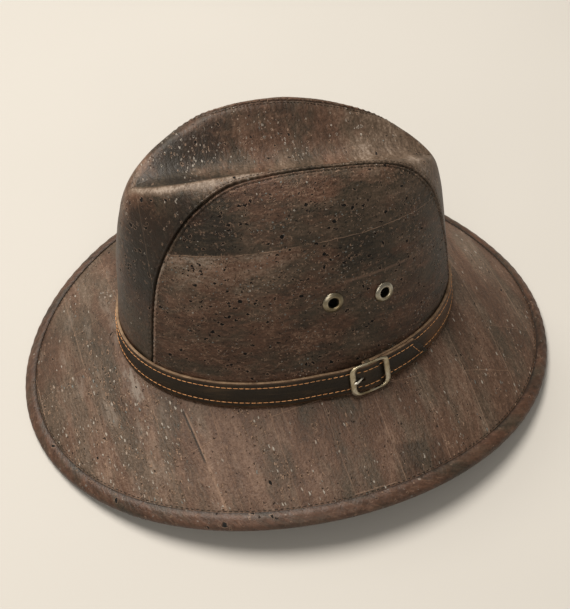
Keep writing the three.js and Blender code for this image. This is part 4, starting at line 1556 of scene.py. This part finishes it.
def bandStitches():
    pitch = band["stitchPitch"]
    width = band["width"]
    spots = []
    slope = (band["tailTip"] - band["tailTop"]) / width

    def endAt(h, inset):
        return bandLength + band["tailTip"] - slope * h - inset

    first = band["tailTip"] - 2.5
    for h, start in ((band["stitchHigh"], band["tailTop"] - 1.5), (band["stitchLow"], first)):
        end = endAt(h, 4.6)
        count = int((end - start) / pitch)
        for i in range(count + 1):
            x = mix(start, end, i / count)
            spots.append(bandSpot(x, h + 0.12 * noiseAt(x / 9, h, 0)))
    top = (endAt(band["stitchHigh"], 4.6), band["stitchHigh"])
    low = (endAt(band["stitchLow"], 4.6), band["stitchLow"])
    across = Vector((low[0] - top[0], low[1] - top[1]))
    way = across.normalized()
    for i in range(1, 4):
        share = i / 4
        spots.append(bandSpot(mix(top[0], low[0], share), mix(top[1], low[1], share), way))
    shape = {"length": band["stitchLength"], "width": band["stitchWidth"], "height": 0.5}
    sewn("band_stitching", spots, shape, tanThread, "band_leather")


bandStitches()

crownStitch = {"length": 1.7, "width": 0.34, "height": 0.3, "pitch": 2.5, "beside": 2.3}


def seamStitches():
    info = crownStitch
    for sideName, side in (("left", 1), ("right", -1)):
        spots = []
        for beside in (-1, 1):
            count = int(seamLengths[-1] / info["pitch"])
            for i in range(count):
                row = seamRows * (i + 0.5) / count
                angle, height = seamLine(row)
                ahead = crownPoint(*seamLine(min(row + 0.1, seamRows)))
                point = crownPoint(angle, height)
                along = ahead - point
                normal = crownNormal(angle, height)
                away = normal.cross(along).normalized()
                point += away * (beside * info["beside"])
                if point.z < hat["footHeight"] + band["width"] + 1:
                    continue
                panel = "side" if beside > 0 else "centre"
                point += normal * (reliefAt(mirrored(point, side), panel) + 0.02)
                spots.append(tuple(mirrored(vector, side) for vector in (point, along, normal)))
        sewn("seam_stitching_" + sideName, spots, info, darkThread, "cork")


seamStitches()

rimStitch = {"length": 2.1, "width": 0.5, "height": 0.4, "pitch": 3.1, "inside": 10.9}


def rimStitches():
    info = rimStitch
    above = hat["brimThickness"] / 2 + 0.05
    count = int(rimLength / info["pitch"])
    spots = []
    for i in range(count):
        angle = 2 * math.pi * i / count
        edgeFrame = brimLine(angle)
        point = offEdge(edgeFrame, -info["inside"], above)
        ahead = offEdge(brimLine(angle + 0.004), -info["inside"], above)
        spots.append((point, ahead - point, offEdge(edgeFrame, 0, 1) - offEdge(edgeFrame, 0, 0)))
    sewn("rim_stitching", spots, info, darkThread, "cork_binding")


rimStitches()


# Buckle: a rounded frame with bowed bars, the middle bar hung below it, and the prong
def squared(halfLength, halfHeight, squareness, turn):
    c = math.cos(turn)
    s = math.sin(turn)
    return (
        halfLength * math.copysign(abs(c) ** (2 / squareness), c),
        bandMiddle + halfHeight * math.copysign(abs(s) ** (2 / squareness), s),
    )


def makeBuckle():
    info = buckle
    shoulder = frameHigh - info["bevel"]
    turns = [math.pi * i / 8 for i in range(9)]
    ring = [(0.5 - 0.5 * math.cos(turn), shoulder + info["bevel"] * math.sin(turn)) for turn in turns]
    ring += [(1.0, frameLow + 0.25), (0.85, frameLow), (0.15, frameLow), (0.0, frameLow + 0.25)]
    steps = info["steps"]
    openHalf = band["width"] / 2 + info["openPlay"]
    corners = {}

    def onFrame(u, v):
        i = round(u * steps) % steps
        k = round(v * len(ring)) % len(ring)
        if i not in corners:
            turn = 2 * math.pi * (i + 0.5) / steps
            even = turn - 0.20 * math.sin(4 * turn)
            corners[i] = (
                squared(info["length"] / 2, info["height"] / 2, info["outerSquare"], even),
                squared(info["length"] / 2 - info["sideBar"], openHalf, info["openSquare"], even),
            )
        outer, inner = corners[i]
        share, off = ring[k]
        return onWall(mix(outer[0], inner[0], share), mix(outer[1], inner[1], share), off)

    bm = bentGrid(steps, len(ring), onFrame, lambda u, v: (u, v))
    patinaAndShade = bm.verts.layers.float.new("patinaAndShade")
    # the frame's sides and underside are darker than its rounded top: partly patina, partly painted shade
    for vert in bm.verts:
        k = (vert.index // (steps + 1)) % len(ring)
        vert[patinaAndShade] = 0.0 if 1 <= k <= 7 else 0.6
    weld(bm)

    # the bar and its posts, bent from small boxes
    width = info["barWidth"]
    postNear = bandMiddle + clearance
    boxes = [((0, bandMiddle, (barLow + barHigh) / 2), (width, 2 * postNear + 1, info["barThickness"]))]
    for side in (-1, 1):
        middle = bandMiddle + side * (postNear + info["post"] / 2)
        height = frameLow + 0.7 - barLow
        boxes.append(((0, middle, barLow + height / 2), (width, info["post"], height)))
    for centre, size in boxes:
        made = bmesh.ops.create_cube(bm, size=1)["verts"]
        bmesh.ops.scale(bm, vec=size, verts=made)
        edges = list({edge for vert in made for edge in vert.link_edges})
        bevelled = bmesh.ops.bevel(
            bm, geom=edges, offset=0.25, segments=2, affect="EDGES", profile=0.5, material=-1,
        )
        for vert in {vert for face in bevelled["faces"] for vert in face.verts}:
            spot = vert.co + Vector(centre)
            vert.co = onWall(spot.x, spot.y, spot.z)
    evenNormals(bm)
    finishPiece("buckle_frame", bm, [brass], ["buckle_frame"], "aged_brass")


def makeProng():
    info = buckle
    half = info["prongThickness"] / 2
    eyeEnd = info["barWidth"] / 2 + clearance + info["prongThickness"]
    farBar = -info["length"] / 2
    start = Vector((-eyeEnd, foldHigh - half - clearance / 3))
    rest = Vector((farBar + info["sideBar"], frameHigh + clearance + half))
    tip = Vector((farBar + info["prongReach"] * info["sideBar"], frameHigh + clearance + half * 0.9))
    line = [start.lerp(rest, i / 10) for i in range(11)]
    line += [rest.lerp(tip, i / 5) for i in range(1, 6)]
    sizes = [1.0] * 12 + [0.95, 0.85, 0.68, 0.4]
    sides = 12

    def onProng(u, v):
        i = min(round(u * (len(line) - 1)), len(line) - 1)
        turn = 2 * math.pi * v
        spot = line[i]
        wide = info["prongWidth"] / 2 * sizes[i] * math.cos(turn)
        tall = half * sizes[i] * math.sin(turn)
        return onWall(spot.x, bandMiddle + wide, spot.y + tall)

    bm = bentGrid(len(line) - 1, sides, onProng, lambda u, v: (u, v))
    weld(bm)
    closeEnds(bm)

    # its eye, wrapped round the bar
    loop = bmesh.ops.create_circle(bm, segments=12, radius=half)["verts"]
    bmesh.ops.rotate(bm, verts=loop, matrix=Matrix.Rotation(math.pi / 2, 3, "X"))
    eyeRadius = info["barWidth"] / 2 + clearance + half
    bmesh.ops.translate(bm, verts=loop, vec=(eyeRadius, 0, 0))
    edges = list({edge for vert in loop for edge in vert.link_edges})
    bmesh.ops.spin(
        bm, geom=edges + loop, cent=(0, 0, 0), axis=(0, 1, 0), angle=2 * math.pi, steps=24, use_merge=True,
    )
    ringVerts = {vert for vert in bm.verts if vert.co.length < 8}
    lowHalf = (info["barThickness"] / 2 + clearance + half) / eyeRadius
    centreOff = (barLow + barHigh) / 2
    for vert in ringVerts:
        spot = vert.co
        vert.co = onWall(spot.x, bandMiddle + spot.y * 1.5, centreOff + spot.z * lowHalf)
    evenNormals(bm)
    finishPiece("buckle_prong", bm, [rubbedBrass], ["buckle_prong"], "aged_brass")


makeBuckle()
makeProng()


# Eyelets: a rolled flange, a barrel through the cloth and a flat washer inside
def makeEyelets():
    info = eyelets
    hole = info["hole"] / 2
    edge = info["flange"] / 2
    top = clearance + info["crown"]
    barrel = hole + info["metal"]
    washerTop = -(hat["crownWall"] + 1.5 * clearance)
    profile = [
        (hole, washerTop - info["metal"]), (hole, -0.6),
        (hole, clearance + 0.2), (hole + 0.12, clearance + 0.75),
        (hole + 0.45, top - 0.18), (hole + 0.95, top), (hole + 1.5, top - 0.04), (edge - 1.1, top - 0.30),
        (edge - 0.5, top - 0.62), (edge - 0.12, clearance + 0.42), (edge, clearance + 0.16),
        (edge - 0.2, clearance), (barrel, clearance), (barrel, washerTop), (info["washer"] / 2, washerTop),
        (info["washer"] / 2, washerTop - info["metal"]),
    ]

    # darker down inside the barrel, in painted shade, and a patina over the flange
    def patinaAndShadeAt(point):
        return fall(point.z, 0.2, top - 0.3) if point.xy.length < hole + 0.6 else 0.5

    for sideName, side in (("left", 1), ("right", -1)):
        for name, degrees, share in info["places"]:
            bm = bmesh.new()
            verts = [bm.verts.new((radius, 0, height)) for radius, height in profile]
            edges = [bm.edges.new((verts[k], verts[(k + 1) % len(verts)])) for k in range(len(verts))]
            bmesh.ops.spin(
                bm, geom=verts + edges, cent=(0, 0, 0), axis=(0, 0, 1),
                angle=2 * math.pi, steps=48, use_merge=True,
            )
            weld(bm)
            addMarks(bm, {"patinaAndShade": patinaAndShadeAt})
            evenNormals(bm)
            point, normal = eyeletSpot(degrees, share, side)
            turn = Vector((0, 0, 1)).rotation_difference(normal).to_matrix().to_4x4()
            bmesh.ops.transform(bm, matrix=Matrix.Translation(point) @ turn, verts=bm.verts[:])
            nodeName = f"eyelet_{sideName}_{name}"
            finishPiece(nodeName, bm, [brass], [nodeName], "aged_brass", sharp=40)


makeEyelets()

# Floor and light
studio = {
    "floorSize": 6.0,
    "floorColour": (0.46, 0.45, 0.43), "mottle": 0.97,
    "sky": (1.0, 0.94, 0.85), "skyStrength": 0.26,
    "lamps": [
        {"name": "windowLight", "place": (-0.66, -0.42, 1.95), "aim": (0.0, 0.0, 0.05), "size": 1.4,
         "power": 72, "colour": (1.0, 0.93, 0.835)},
        {"name": "roomLight", "place": (1.5, -0.5, 1.3), "aim": (0.0, 0.0, 0.08), "size": 1.4,
         "power": 13, "colour": (1.0, 0.93, 0.83)},
    ],
}


def makeStudio():
    info = studio
    bm = bmesh.new()
    bmesh.ops.create_grid(bm, x_segments=1, y_segments=1, size=info["floorSize"] / 2)
    mesh = bpy.data.meshes.new("studioFloor")
    bm.to_mesh(mesh)
    bm.free()
    material, tree, shader = newMaterial("floorPaper", 0.2)
    base = info["floorColour"]
    stops = [(0.3, scaled(base, info["mottle"])), (0.7, base)]
    feed(shader, {"Base Color": tones(cloud(objectCoords(tree), 3, 2), stops), "Roughness": 0.85})
    mesh.materials.append(material)
    floor = bpy.data.objects.new("studioFloor", mesh)
    bpy.context.scene.collection.objects.link(floor)

    world = bpy.data.worlds.new("studioSky")
    world.use_nodes = True
    background = world.node_tree.nodes["Background"]
    background.inputs["Color"].default_value = (*info["sky"], 1)
    background.inputs["Strength"].default_value = info["skyStrength"]
    bpy.context.scene.world = world
    for lamp in info["lamps"]:
        light = bpy.data.lights.new(lamp["name"], "AREA")
        light.shape = "DISK"
        light.size = lamp["size"]
        light.energy = lamp["power"]
        light.color = lamp["colour"]
        thing = bpy.data.objects.new(lamp["name"], light)
        place = Vector(lamp["place"])
        away = Vector(lamp["aim"]) - place
        turn = away.to_track_quat("-Z", "Y").to_matrix().to_4x4()
        thing.matrix_world = Matrix.Translation(place) @ turn
        bpy.context.scene.collection.objects.link(thing)


makeStudio()
print("floor and light placed")
